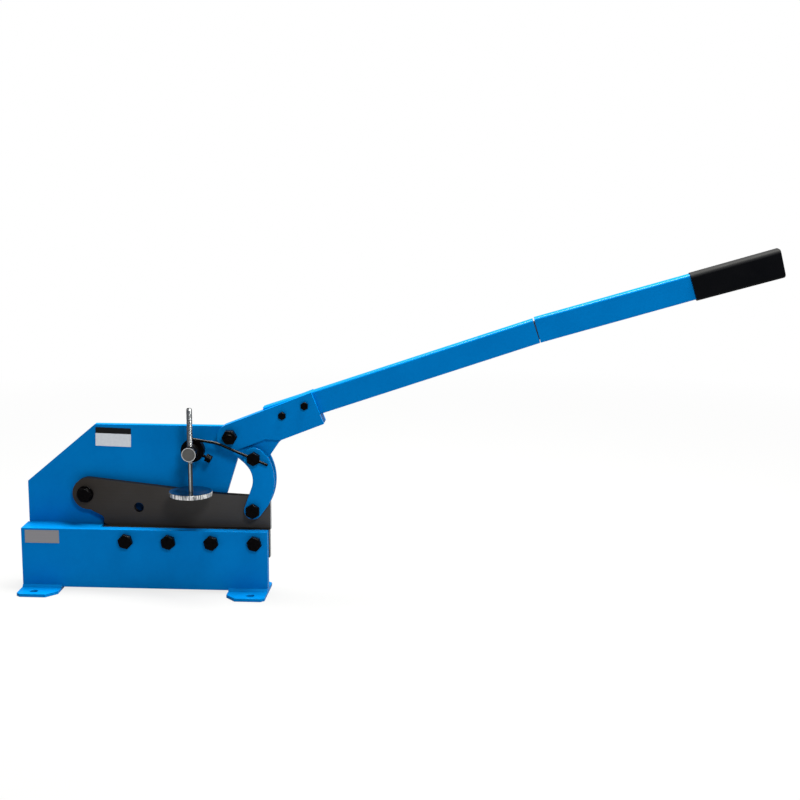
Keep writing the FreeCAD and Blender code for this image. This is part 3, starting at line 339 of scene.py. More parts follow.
gripTones = {
    "moulded": (colour(0.0009, 0.0012, 0.0022), colour(0.0032, 0.0034, 0.0045)),
    "dustAndSheen": colour(0.022, 0.022, 0.024),
    "roughness": (0.42, 0.58),
}


def makeBlackGrip():
    finish = Finish("gripRubber", Specular_IOR_Level=0.03)
    where = finish.place()
    grain = finish.noise(where, 1400.0, 3.0, 0.6)
    smear = finish.noise(where, 45.0, 3.0)
    # Painted highlight: paler colour on what faces up, where the top lamp falls
    litTop = finish.spread(finish.upward(), 0.15, 0.95)
    return finish.wear(
        Base_Color=finish.mix(litTop, finish.mix(smear, *gripTones["moulded"]), gripTones["dustAndSheen"]),
        Roughness=finish.spread(smear, 0.3, 0.7, *gripTones["roughness"]),
        Normal=finish.bump(grain, 0.35, 0.00012))


# White plate with a dark band along its top; it carries no print

plateLook = {
    "corner": (-95 * mm, 75.8 * mm, 261.26 * mm),
    "tilt": 1.5,             # degrees
    "bandFrom": 23.6 * mm,
    "white": (colour(0.52, 0.55, 0.61), colour(0.66, 0.68, 0.73)),
    "black": (colour(0.003, 0.003, 0.003), colour(0.007, 0.007, 0.008)),
}


def makeWhitePlate():
    finish = Finish("platePrint", Specular_IOR_Level=0.1)
    squared = finish.place(turn=(0, -math.radians(plateLook["tilt"]), 0), origin=plateLook["corner"])
    height = finish.add("ShaderNodeSeparateXYZ", {}, {0: squared}, output="Z")
    band = height.above(plateLook["bandFrom"])
    dustAndSheen = finish.noise(finish.place(), 210.0, 4.0)
    white = finish.mix(dustAndSheen, *plateLook["white"])
    black = finish.mix(dustAndSheen, *plateLook["black"])
    return finish.wear(
        Base_Color=finish.mix(band, white, black),
        Roughness=finish.spread(dustAndSheen, 0.3, 0.7, 0.3, 0.42),
        Normal=finish.bump(band * 0.6 + dustAndSheen * 0.2, 0.15, 0.00005))


# Grey label of brushed aluminium on the front plate, also bare

labelTones = (colour(0.19, 0.19, 0.20), colour(0.29, 0.28, 0.30))


def makeGreyPlate():
    finish = Finish("satinAluminium", Metallic=0.7)
    brushed = finish.noise(finish.place(scale=(20.0, 400.0, 1600.0)), 1.0, 4.0, 0.7)
    return finish.wear(
        Base_Color=finish.mix(brushed, *labelTones),
        Roughness=finish.spread(brushed, 0.3, 0.7, 0.34, 0.5),
        Normal=finish.bump(brushed, 0.12, 0.00004))


finishes = {
    "blue_paint": makeBluePaint(),
    "blade_steel": makeBladeSteel(),
    "black_steel": makeBlackSteel(),
    "zinc_steel": makeZincSteel(),
    "pad_chrome": makePadChrome(),
    "bare_steel": makeBareSteel(),
    "black_grip": makeBlackGrip(),
    "white_plate": makeWhitePlate(),
    "grey_plate": makeGreyPlate(),
}
slotOfNode = {entry["node"]: entry["material_slot"] for entry in frame["record"]["subparts"]}
bodyOfNode = {node: body for body, nodes in frame["record"]["behaviour"]["bodies"].items()
              for node in nodes}
print("finishes made,", len(finishes))


# Picking, cutting and handing over

alongX = (0, math.pi / 2, 0)
alongY = (math.pi / 2, 0, 0)


def pick(*things):
    bpy.ops.object.select_all(action="DESELECT")
    for thing in things:
        thing.select_set(True)
    bpy.context.view_layer.objects.active = things[0]


def applyModifiers(thing):
    pick(thing)
    for modifier in list(thing.modifiers):
        bpy.ops.object.modifier_apply(modifier=modifier.name)


def settle(thing):
    # Its place and turn go into the mesh, so the object stands at the origin
    pick(thing)
    bpy.ops.object.transform_apply(location=True, rotation=True, scale=True)


def joined(name, things):
    for thing in things:
        settle(thing)
    pick(*things)
    bpy.ops.object.join()
    whole = bpy.context.view_layer.objects.active
    whole.name = name
    return whole


def hand(thing, node, angle=40):
    # The finished piece stands for a node, and takes its body and finish
    settle(thing)
    bpy.ops.object.shade_smooth_by_angle(angle=math.radians(angle))
    level = thing.modifiers.new("level", "WEIGHTED_NORMAL")
    level.keep_sharp = True
    applyModifiers(thing)
    thing.data.materials.clear()
    thing.data.materials.append(finishes[slotOfNode[node]])
    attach(thing, bodyOfNode[node])
    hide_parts(node)
    return thing


def repeated(thing, x, z=0.0):
    # A copy with its own mesh, moved along the base and upwards
    twin = thing.copy()
    twin.data = thing.data.copy()
    bpy.context.scene.collection.objects.link(twin)
    twin.location = (x, 0, z)
    return twin


def addCylinder(name, sides, radius, depth, place, turn):
    bpy.ops.object.select_all(action="DESELECT")
    bpy.ops.mesh.primitive_cylinder_add(
        vertices=sides, radius=radius, depth=depth, location=place, rotation=turn)
    cylinder = bpy.context.object
    cylinder.name = name
    return cylinder


def cut(thing, tool, operation="DIFFERENCE", overlapping=False):
    trim = thing.modifiers.new("trim", "BOOLEAN")
    trim.operation = operation
    trim.object = tool
    trim.use_self = overlapping
    applyModifiers(thing)
    bpy.data.objects.remove(tool)


def openFor(kind):
    # Edit mode on the active piece, with nothing selected
    bpy.ops.object.mode_set(mode="EDIT")
    bpy.ops.mesh.select_mode(type=kind)
    bpy.ops.mesh.select_all(action="DESELECT")
    bpy.ops.object.mode_set(mode="OBJECT")


def chooseEdges(thing, wanted):
    # wanted is asked with the places of an edge's two ends
    openFor("EDGE")
    for edge in thing.data.edges:
        first, second = (thing.data.vertices[index].co for index in edge.vertices)
        edge.select = wanted(first, second)
    bpy.ops.object.mode_set(mode="EDIT")


def chooseFaces(thing, wanted):
    openFor("FACE")
    for face in thing.data.polygons:
        face.select = wanted(face)
    bpy.ops.object.mode_set(mode="EDIT")


def closeMesh():
    bpy.ops.mesh.select_mode(type="VERT")
    bpy.ops.object.mode_set(mode="OBJECT")


def tidyMesh(thing, gap=hair, flat=1.0):
    # Merges doubles and flat faces; flat is the angle in degrees that still counts as one face
    pick(thing)
    bpy.ops.object.mode_set(mode="EDIT")
    bpy.ops.mesh.select_all(action="SELECT")
    bpy.ops.mesh.remove_doubles(threshold=gap)
    if flat:
        bpy.ops.mesh.dissolve_limited(angle_limit=math.radians(flat))
    bpy.ops.mesh.normals_make_consistent(inside=False)
    bpy.ops.object.mode_set(mode="OBJECT")


def edgeBevel(thing, width, segments=2, angle=35):
    bevel = thing.modifiers.new("edge", "BEVEL")
    bevel.width = width
    bevel.segments = segments
    bevel.limit_method = "ANGLE"
    bevel.angle_limit = math.radians(angle)
    bevel.use_clamp_overlap = True
    applyModifiers(thing)


# Plates and bars: merged copies of the solids with their edges broken

edgeWidths = {
    "front_plate": 0.7,
    "left_foot": 0.6,
    "right_foot": 0.6,
    "top_filler_plate": 0.5,
    "body_plate": 0.9,
    "lower_blade": 0.35,
    "upper_blade": 0.45,
    "front_link": 1.6,
    "rear_link": 1.6,
    "lever_front_cheek": 0.8,
    "lever_core": 0.8,
    "lever_spacer_bar": 0.6,
    "lever_rear_cheek": 0.8,
    "handle_joiner": 0.4,
    "data_plate": 0.12,
    "base_label": 0.12,
}


def softened(node, width):
    thing = bpy.data.objects.new(node + "_dressed", frame["nodes"][node].data.copy())
    bpy.context.scene.collection.objects.link(thing)
    tidyMesh(thing)
    edgeBevel(thing, width * mm)
    return thing


for plateNode, plateEdge in edgeWidths.items():
    hand(softened(plateNode, plateEdge), plateNode)
print("plates and bars dressed,", len(edgeWidths))


# Tubes: the solids already have round corners, so only their sawn ends are broken

sawnEdge = 0.4

for tubeNode in ("handle_inner_tube", "handle_outer_tube"):
    hand(softened(tubeNode, sawnEdge), tubeNode)
print("tubes dressed")


# Hexagon bolts and nuts, modelled along +Y from the face they rest on

fasteners = {
    "blade": {"across": 24, "head": 10, "radius": 8, "pitch": 2.0, "tail": 18},
    "links": {"across": 22, "head": 11, "radius": 7, "pitch": 2.0, "tail": 16},
    "handle": {"across": 13, "head": 5.5, "radius": 4, "pitch": 1.25, "tail": 12},
}
hexLook = {
    "faceShare": 0.46,      # turned face's radius, of the width across flats
    "cornerAngle": 52,      # degrees, the cone that takes off the corners
    "edgeShare": 0.008,
    "sink": 0.5,            # shank inside the head
    "shankEnd": 0.8,
    "nutBite": 0.35,        # nut's bore inside the bolt's thread
}
threadLook = {              # in pitches, apart from the last two
    "depth": 0.54,
    "crest": 0.48,
    "foot": 0.96,
    "endChamfer": 0.6,
    "plainChamfer": 0.4,
    "ridgeEnd": 1.1,        # before the shank's end
    "plainEnd": 1,
    "rootBite": 0.15,       # mm, ridge inside the core
    "steps": 20,            # of one turn
}


def hexBody(name, across, height, bore=0.0):
    # From y = 0 back to y = -height, the outer face's corners turned off to a cone
    middle = (0, -height / 2, 0)
    blank = addCylinder(name, 6, across / math.sqrt(3), height, middle, alongY)
    settle(blank)
    faceRadius = across * hexLook["faceShare"]
    bpy.ops.object.select_all(action="DESELECT")
    bpy.ops.mesh.primitive_cone_add(
        vertices=72, radius1=faceRadius, depth=height, location=middle, rotation=(-math.pi / 2, 0, 0),
        radius2=faceRadius + height * math.tan(math.radians(hexLook["cornerAngle"])))
    cut(blank, bpy.context.object, "INTERSECT")
    if bore:
        cut(blank, addCylinder(name + "_drill", 48, bore, height * 2, middle, alongY))
    tidyMesh(blank, flat=0.5)
    edgeBevel(blank, across * hexLook["edgeShare"], 2, 25)
    return blank


def shank(name, radius, start, end, chamfer):
    # A round bar along Y with both ends chamfered
    bar = addCylinder(name, 48, radius, end - start, (0, (start + end) / 2, 0), alongY)
    settle(bar)
    edgeBevel(bar, chamfer, 1, 60)
    return bar


def threadRidge(name, rootRadius, crestRadius, pitch, turns):
    # A closed helical ridge about Y: a triangle swept by the Screw modifier, its two ends filled
    bpy.ops.object.select_all(action="DESELECT")
    bpy.ops.mesh.primitive_circle_add(vertices=3, radius=pitch / 2, location=(0, 0, 0))
    ridge = bpy.context.object
    ridge.name = name
    section = [(rootRadius, 0), (crestRadius, pitch * threadLook["crest"]),
               (rootRadius, pitch * threadLook["foot"])]
    for vertex, (reach, height) in zip(ridge.data.vertices, section):
        vertex.co = (reach, height, 0)
    screw = ridge.modifiers.new("turns", "SCREW")
    screw.axis = "Y"
    screw.steps = threadLook["steps"]
    screw.render_steps = threadLook["steps"]
    screw.screw_offset = pitch
    screw.iterations = turns
    applyModifiers(ridge)
    bpy.ops.object.mode_set(mode="EDIT")
    bpy.ops.mesh.select_all(action="SELECT")
    bpy.ops.mesh.fill_holes(sides=3)
    bpy.ops.mesh.normals_make_consistent(inside=False)
    bpy.ops.object.mode_set(mode="OBJECT")
    return ridge


def threadedShank(name, radius, start, end, pitch, threadFrom):
    # A plain shank that turns into a cut thread, its crests at the shank's own radius
    coreRadius = radius - pitch * threadLook["depth"]
    core = shank(name, coreRadius, start, end, pitch * threadLook["endChamfer"])
    turns = max(1, int((end - threadFrom) / pitch) - 1)
    ridge = threadRidge(name + "_ridge", coreRadius - threadLook["rootBite"] * mm, radius, pitch, turns)
    ridge.location = (0, end - (turns + threadLook["ridgeEnd"]) * pitch, 0)
    parts = [core, ridge]
    if threadFrom - start > pitch:
        plainEnd = end - (turns + threadLook["plainEnd"]) * pitch
        parts.append(shank(name + "_plain", radius, start, plainEnd, pitch * threadLook["plainChamfer"]))
    return joined(name, parts)


def turnedAlong(thing, x, y, z, fromRear=False, roll=0.0):
    turn = Matrix.Rotation(math.pi, 4, "Z") if fromRear else Matrix.Identity(4)
    thing.matrix_world = Matrix.Translation((x, y, z)) @ turn @ Matrix.Rotation(roll, 4, "Y")
    settle(thing)
    return thing


def middleOf(node):
    low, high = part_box(node)
    return low, high, (low + high) / 2


def hexBolt(name, kind, x, seat, z, length, fromRear=False, cornersUp=True, threaded=True):
    # The head's underside rests at y = seat
    look = fasteners[kind]
    head = hexBody(name + "_head", look["across"] * mm, look["head"] * mm)
    radius = look["radius"] * mm
    start = -hexLook["sink"] * mm
    if threaded:
        threadFrom = length - look["tail"] * mm
        body = threadedShank(name + "_shank", radius, start, length, look["pitch"] * mm, threadFrom)
    else:
        body = shank(name + "_shank", radius, start, length, hexLook["shankEnd"] * mm)
    turnedAlong(head, x, seat, z, fromRear, 0.0 if cornersUp else math.pi / 6)
    turnedAlong(body, x, seat, z, fromRear)
    return joined(name, [head, body])


def hexNut(name, kind, x, seat, z, height, fromFront=False):
    look = fasteners[kind]
    body = hexBody(name, look["across"] * mm, height, (look["radius"] - hexLook["nutBite"]) * mm)
    return turnedAlong(body, x, seat, z, not fromFront, math.pi / 6)


def frontBolt(name, kind, node, cornersUp=True):
    # A bolt in its node's place, its head at the front
    low, high, middle = middleOf(node)
    seat = low.y + fasteners[kind]["head"] * mm
    return hexBolt(name, kind, middle.x, seat, middle.z, high.y - seat, cornersUp=cornersUp)


def rearNut(name, kind, node):
    # A nut in its node's place, resting on what lies in front of it
    low, high, middle = middleOf(node)
    return hand(hexNut(name, kind, middle.x, low.y, middle.z, high.y - low.y), node)


# Lower blade bolts: one modelled and copied to four places

boltRolls = (14, 20, 16, 13)        # degrees, as each was tightened
boltLow, boltHigh, boltMiddle = middleOf("lower_blade_bolts")
boltSeat = boltLow.y + fasteners["blade"]["head"] * mm
halfWide = fasteners["blade"]["across"] / math.sqrt(3) * mm
boltSpan = (boltHigh.x - boltLow.x - halfWide * 2) / (len(boltRolls) - 1)
oneBolt = hexBolt("lowerBladeBolt", "blade", 0, boltSeat, 0, boltHigh.y - boltSeat,
                  cornersUp=False, threaded=False)
boltRow = []
for boltNumber, boltRoll in enumerate(boltRolls):
    turnedBolt = repeated(oneBolt, boltLow.x + halfWide + boltSpan * boltNumber, boltMiddle.z)
    turnedBolt.rotation_euler = (0, math.radians(boltRoll), 0)
    boltRow.append(turnedBolt)
bpy.data.objects.remove(oneBolt)
hand(joined("lowerBladeBolts", boltRow), "lower_blade_bolts")


# Blade pivot: bolt from the front with a washer, nut behind the body plate

washerEdge = 0.5

hand(frontBolt("bladePivotBolt", "blade", "blade_pivot_bolt", cornersUp=False), "blade_pivot_bolt")
rearNut("bladePivotNut", "blade", "blade_pivot_nut")
hand(softened("blade_pivot_washer", washerEdge), "blade_pivot_washer")


# Links: the bottom bolt is plain, the top bolt has a cross hole through its head for the spring rod

hand(frontBolt("linkBottomBolt", "blade", "link_bottom_bolt"), "link_bottom_bolt")
rearNut("linkBottomNut", "blade", "link_bottom_nut")

springLine = {
    "lead": 4,              # rod's left end, left of the hold-down rod's axis
    "rise": 20.9,           # and above it
    "slope": 8.3,           # degrees, first run
    "bendRadius": 60,
    "firstRun": 48.4,
    "lastRun": 100,
    "radius": 2.5,
    "holePlay": 0.25,
    "drillLength": 44,
    "endReach": 5,          # curve handles beyond the rod's ends
    "firstReach": 12,       # and along its first and last runs
    "lastReach": 28,
    "bendShare": 0.67,      # and into the bend, of its tangent length
    "tipEdge": 0.5,
    "runSteps": 18,         # between two of the curve's points
    "roundSteps": 5,
}
topLow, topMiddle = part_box("link_top_bolt")[0], middleOf("link_top_bolt")[2]
topSeat = topLow.y + fasteners["links"]["head"] * mm
topBolt = frontBolt("linkTopBolt", "links", "link_top_bolt")
firstSlope = math.radians(springLine["slope"])
firstRun = springLine["firstRun"] * mm
rodMiddle = middleOf("hold_down_rod")[2]
rodX, rodZ = rodMiddle.x, rodMiddle.z
springY = middleOf("spring_rod")[2].y
springStart = Vector((rodX - springLine["lead"] * mm, springY, rodZ + springLine["rise"] * mm))
firstWay = Vector((math.cos(firstSlope), 0, -math.sin(firstSlope)))
corner = springStart + firstWay * firstRun
lastSlope = math.atan2(corner.z - topMiddle.z, topMiddle.x - corner.x)
lastWay = Vector((math.cos(lastSlope), 0, -math.sin(lastSlope)))
crossDrill = addCylinder(
    "crossDrill", 32, (springLine["radius"] + springLine["holePlay"]) * mm,
    springLine["drillLength"] * mm, (topMiddle.x, (topLow.y + topSeat) / 2, topMiddle.z),
    (0, math.pi / 2 + lastSlope, 0))
cut(topBolt, crossDrill, overlapping=True)
hand(topBolt, "link_top_bolt")
rearNut("linkTopNut", "links", "link_top_nut")


# Lever pivot: head behind the body plate, nut in front of the cheek

leverLow, leverHigh, leverMiddle = middleOf("lever_pivot_bolt")
leverSeat = leverHigh.y - fasteners["blade"]["head"] * mm
hand(hexBolt("leverPivotBolt", "blade", leverMiddle.x, leverSeat, leverMiddle.z, leverSeat - leverLow.y,
             fromRear=True, cornersUp=False), "lever_pivot_bolt")
leverNutLow, leverNutHigh, leverNutMiddle = middleOf("lever_pivot_nut")
hand(hexNut("leverPivotNut", "blade", leverNutMiddle.x, leverNutHigh.y, leverNutMiddle.z,
            leverNutHigh.y - leverNutLow.y, fromFront=True), "lever_pivot_nut")


# Handle bolts and nuts: one of each modelled, and copied to the second place

handleLow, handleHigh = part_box("handle_bolts")
smallCorner = fasteners["handle"]["across"] / math.sqrt(3) * mm
smallFlat = fasteners["handle"]["across"] / 2 * mm
handleSeat = handleLow.y + fasteners["handle"]["head"] * mm
handleX, handleZ = handleLow.x + smallFlat, handleLow.z + smallCorner
pairX = handleHigh.x - smallFlat - handleX
pairZ = handleHigh.z - smallCorner - handleZ
smallBolt = hexBolt("handleBolt", "handle", handleX, handleSeat, handleZ, handleHigh.y - handleSeat)
hand(joined("handleBolts", [smallBolt, repeated(smallBolt, pairX, pairZ)]), "handle_bolts")
handleNutLow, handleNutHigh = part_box("handle_nuts")
smallNut = hexNut("handleNut", "handle", handleX, handleNutLow.y, handleZ,
                  handleNutHigh.y - handleNutLow.y)
hand(joined("handleNuts", [smallNut, repeated(smallNut, pairX, pairZ)]), "handle_nuts")
print("bolts and nuts made")


# Hold-down: rod with a sawn front face, threaded spindle, turned pad

holdLook = {
    "rodEdge": 1.1,
    "spindleRadius": 5.35,
    "spindlePitch": 1.5,
    "spindleDepth": 0.5,    # of the thread, in pitches
    "ridgeBite": 0.1,
    "ridgeEnd": 1.5,        # below the spindle's top
    "tipWidth": 0.8,
    "tipHeight": 1.0,
    "threadLow": 245,
    "runout": 1.2,
    "neckRadius": 4.0,
    "flangeRadius": 6,      # inside the pad
    "flangeHeight": 3,
    "steps": 96,            # of a whole turning
}
padLook = {
    "radius": 39,
    "low": 184.5,
    "high": 193,
    "lowEdge": (1.2, 0.35),     # rounded edge, and how far its middle point stands back
    "highEdge": (1.4, 0.4),
    "soleRadius": 30,       # hollow of the underside
    "soleDepth": 1.0,
    "play": 0.3,
    "boreEdge": 0.6,
    "boreDepth": 3,
    "pocketRadius": 6.3,
}
hand(softened("hold_down_rod", holdLook["rodEdge"]), "hold_down_rod")
rearNut("holdDownNut", "blade", "hold_down_nut")


def lathe(name, points, x, y):
    # A closed turning about the upright line through (x, y) from its half section (radius, height)
    bpy.ops.object.select_all(action="DESELECT")
    bpy.ops.mesh.primitive_circle_add(vertices=len(points), radius=0.01, location=(0, 0, 0))
    turning = bpy.context.object
    turning.name = name
    for vertex, (reach, height) in zip(turning.data.vertices, points):
        vertex.co = (reach, 0, height)
    chooseEdges(turning, lambda first, second: max(first.x, second.x) < hair / 10)
    bpy.ops.mesh.delete(type="EDGE")
    bpy.ops.mesh.select_all(action="SELECT")
    bpy.ops.mesh.spin(steps=holdLook["steps"], angle=2 * math.pi, center=(0, 0, 0), axis=(0, 0, 1))
    bpy.ops.mesh.select_all(action="SELECT")
    bpy.ops.mesh.remove_doubles(threshold=hair / 5)
    bpy.ops.mesh.normals_make_consistent(inside=False)
    closeMesh()
    turning.location = (x, y, 0)
    settle(turning)
    return turning


spindleLow, spindleHigh, spindleMiddle = middleOf("hold_down_spindle")
neckRadius = holdLook["neckRadius"] * mm
crestRadius = holdLook["spindleRadius"] * mm
threadLow = holdLook["threadLow"] * mm
pitch = holdLook["spindlePitch"] * mm
coreRadius = crestRadius - pitch * holdLook["spindleDepth"]
flangeRadius = holdLook["flangeRadius"] * mm
flangeHigh = spindleLow.z + holdLook["flangeHeight"] * mm
spindleCore = lathe("spindleCore", [
    (0, spindleLow.z),
    (flangeRadius, spindleLow.z),
    (flangeRadius, flangeHigh),
    (neckRadius, flangeHigh),
    (neckRadius, threadLow - holdLook["runout"] * mm),
    (coreRadius, threadLow),
    (coreRadius, spindleHigh.z - holdLook["tipHeight"] * mm),
    (coreRadius - holdLook["tipWidth"] * mm, spindleHigh.z),
    (0, spindleHigh.z),
], spindleMiddle.x, spindleMiddle.y)
spindleTurns = int((spindleHigh.z - threadLow - holdLook["ridgeEnd"] * mm) / pitch)
ridgeRoot = coreRadius - holdLook["ridgeBite"] * mm
spindleRidge = threadRidge("spindleRidge", ridgeRoot, crestRadius, pitch, spindleTurns)
spindleRidge.matrix_world = (Matrix.Translation((spindleMiddle.x, spindleMiddle.y, threadLow))
                             @ Matrix.Rotation(math.pi / 2, 4, "X"))
hand(joined("holdDownSpindle", [spindleCore, spindleRidge]), "hold_down_spindle", angle=25)

padLow = padLook["low"] * mm
padHigh = padLook["high"] * mm
padReach = padLook["radius"] * mm
padBore = neckRadius + padLook["play"] * mm
lowEdge, lowMiddle = (size * mm for size in padLook["lowEdge"])
highEdge, highMiddle = (size * mm for size in padLook["highEdge"])
boreEdge, boreLow = padLook["boreEdge"] * mm, padHigh - padLook["boreDepth"] * mm
soleRadius, soleDepth = padLook["soleRadius"] * mm, padLook["soleDepth"] * mm
pocketRadius, pocketLow = padLook["pocketRadius"] * mm, spindleLow.z - padLook["play"] * mm
padPiece = lathe("holdDownPad", [
    (0, padLow + soleDepth),
    (soleRadius, padLow + soleDepth),
    (soleRadius + soleDepth, padLow),
    (padReach - lowEdge, padLow),
    (padReach - lowMiddle, padLow + lowMiddle),
    (padReach, padLow + lowEdge),
    (padReach, padHigh - highEdge),
    (padReach - highMiddle, padHigh - highMiddle),
    (padReach - highEdge, padHigh),
    (padBore + boreEdge, padHigh),
    (padBore, padHigh - boreEdge),
    (padBore, boreLow),
    (pocketRadius, boreLow),
    (pocketRadius, pocketLow),
    (0, pocketLow),
], spindleMiddle.x, spindleMiddle.y)
hand(padPiece, "hold_down_pad", angle=25)
print("hold-down made")


# Collar on the rod, thumb screw with a notched knob, spring rod

thumbLook = {
    "collarEdge": 0.9,
    "angle": 28.6,          # degrees below the level, to the right
    "knobStart": 26.8,      # from the rod's axis
    "knobRadius": 7.2,
    "knobLength": 10,
    "notches": 18,
    "notchEdge": 0.22,
    "notchDepth": 0.7,
    "faceEdge": 1.1,
    "faceDepth": 0.4,
    "screwRadius": 3,
    "screwPitch": 1.0,
    "screwStart": 12.8,
    "screwEnd": 27.5,
}
hand(softened("spring_collar", thumbLook["collarEdge"]), "spring_collar")
knob = addCylinder(
    "thumbKnob", thumbLook["notches"] * 2, thumbLook["knobRadius"] * mm, thumbLook["knobLength"] * mm,
    (0, 0, (thumbLook["knobStart"] + thumbLook["knobLength"] / 2) * mm), (0, 0, 0))
sideFaces = sorted((face for face in knob.data.polygons if abs(face.normal.z) < 0.5),
                   key=lambda face: math.atan2(face.center.y, face.center.x))
notchFaces = {face.index for face in sideFaces[::2]}
chooseFaces(knob, lambda face: face.index in notchFaces)
bpy.ops.mesh.inset(thickness=thumbLook["notchEdge"] * mm, use_individual=True)
bpy.ops.transform.shrink_fatten(value=-thumbLook["notchDepth"] * mm)
chooseFaces(knob, lambda face: abs(face.normal.z) > 0.9)
bpy.ops.mesh.inset(thickness=thumbLook["faceEdge"] * mm)
bpy.ops.transform.shrink_fatten(value=-thumbLook["faceDepth"] * mm)
closeMesh()
screwStart = thumbLook["screwStart"] * mm
screwStem = threadedShank("thumbStem", thumbLook["screwRadius"] * mm, screwStart,
                          thumbLook["screwEnd"] * mm, thumbLook["screwPitch"] * mm, screwStart)
screwStem.matrix_world = Matrix.Rotation(math.pi / 2, 4, "X")
thumbPiece = joined("collarThumbScrew", [knob, screwStem])
thumbTurn = Matrix.Rotation(math.radians(90 + thumbLook["angle"]), 4, "Y")
collarMiddle = middleOf("spring_collar")[2]
thumbPiece.matrix_world = Matrix.Translation((rodX, collarMiddle.y, rodZ)) @ thumbTurn
hand(thumbPiece, "collar_thumb_screw")

bendRun = springLine["bendRadius"] * mm * math.tan((lastSlope - firstSlope) / 2)
bendReach = bendRun * springLine["bendShare"]
endReach = springLine["endReach"] * mm
firstReach, lastReach = springLine["firstReach"] * mm, springLine["lastReach"] * mm
lastEnd = corner + lastWay * springLine["lastRun"] * mm
springStops = [             # place, way, and the reach of the handles before and after it
    (springStart, firstWay, endReach, firstReach),
    (corner - firstWay * bendRun, firstWay, firstReach, bendReach),
    (corner + lastWay * bendRun, lastWay, bendReach, lastReach),
    (lastEnd, lastWay, lastReach, endReach),
]
bpy.ops.object.select_all(action="DESELECT")
bpy.ops.curve.primitive_bezier_curve_add(location=(0, 0, 0))
springCurve = bpy.context.object
springPath = springCurve.data.splines[0]
springPath.bezier_points.add(2)
for stop, (place, way, before, after) in zip(springPath.bezier_points, springStops):
    stop.handle_left_type = "FREE"
    stop.handle_right_type = "FREE"
    stop.co = place
    stop.handle_left = place - way * before
    stop.handle_right = place + way * after
springCurve.data.dimensions = "3D"
springCurve.data.resolution_u = springLine["runSteps"]
springCurve.data.bevel_depth = springLine["radius"] * mm
springCurve.data.bevel_resolution = springLine["roundSteps"]
springCurve.data.use_fill_caps = True
bpy.ops.object.convert(target="MESH")
springPiece = bpy.context.object
springPiece.name = "springRod"
tidyMesh(springPiece, hair / 2, 0)
edgeBevel(springPiece, springLine["tipEdge"] * mm, 2, 60)
springPiece.data.materials.clear()
springPiece.data.materials.append(finishes["black_steel"])
pick(springPiece)
bpy.ops.object.shade_smooth_by_angle(angle=math.radians(40))
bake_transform(springPiece)
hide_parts("spring_rod")
print("collar and spring rod made")


# Grip: a moulded sleeve with a rolled mouth and a domed end, modelled along +X from the tube's seam

gripLook = {
    "seam": (711.27, 462.24),   # X and Z of the tubes' seam
    "angle": 16.5,              # degrees above the level
    "along": (282, 443),
    "deep": (58.3, 92.3),
    "tall": (-2.6, 46.7),
    "flare": 2.1,               # lower side, towards the free end
    "slant": 2.5,               # free end, at its lower side
    "corner": 8.6,
    "endRound": 3.6,
    "mouthRound": 1.1,
    "lipEdge": 0.3,
    "lipDepth": 1.6,
}


def roundEdges(thing, wanted, radius, segments):
    chooseEdges(thing, wanted)
    bpy.ops.mesh.bevel(offset=radius * mm, segments=segments, affect="EDGES", clamp_overlap=True)
    bpy.ops.object.mode_set(mode="OBJECT")


def makeGrip():
    spans = [gripLook[way] for way in ("along", "deep", "tall")]
    sizes = [(high - low) * mm for low, high in spans]
    middle = [(low + high) / 2 * mm for low, high in spans]
    bpy.ops.object.select_all(action="DESELECT")
    bpy.ops.mesh.primitive_cube_add(size=1, location=middle, scale=sizes)
    grip = bpy.context.object
    grip.name = "handleGrip"
    settle(grip)
    chooseEdges(grip, lambda first, second: (
        min(first.x, second.x) > middle[0] and max(first.z, second.z) < middle[2]))
    bpy.ops.transform.translate(value=(-gripLook["slant"] * mm, 0, -gripLook["flare"] * mm))
    bpy.ops.object.mode_set(mode="OBJECT")
    roundEdges(grip, lambda first, second: abs(first.x - second.x) > sizes[0] / 2, gripLook["corner"], 7)
    start, end = gripLook["along"]
    farEnd = (end - gripLook["slant"]) * mm - hair
    nearEnd = start * mm + hair
    roundEdges(grip, lambda first, second: min(first.x, second.x) > farEnd, gripLook["endRound"], 5)
    roundEdges(grip, lambda first, second: max(first.x, second.x) < nearEnd, gripLook["mouthRound"], 3)
    chooseFaces(grip, lambda face: face.center.x < nearEnd and face.normal.x < -0.99)
    bpy.ops.mesh.inset(thickness=gripLook["lipEdge"] * mm)
    bpy.ops.transform.translate(value=(gripLook["lipDepth"] * mm, 0, 0))
    closeMesh()
    turn = Matrix.Rotation(-math.radians(gripLook["angle"]), 4, "Y")
    seamX, seamZ = gripLook["seam"]
    grip.matrix_world = Matrix.Translation((seamX * mm, 0, seamZ * mm)) @ turn
    return grip


hand(makeGrip(), "handle_grip", angle=35)


# Weld beads under the front plate

weldLook = {
    "leg": 3.9,
    "length": 72,
    "ripple": 1.5,
    "swell": 1.08,          # of every other ripple
    "offset": 0.3,          # centre line, out from the corner of plate and foot
}
weldLow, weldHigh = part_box("foot_welds")


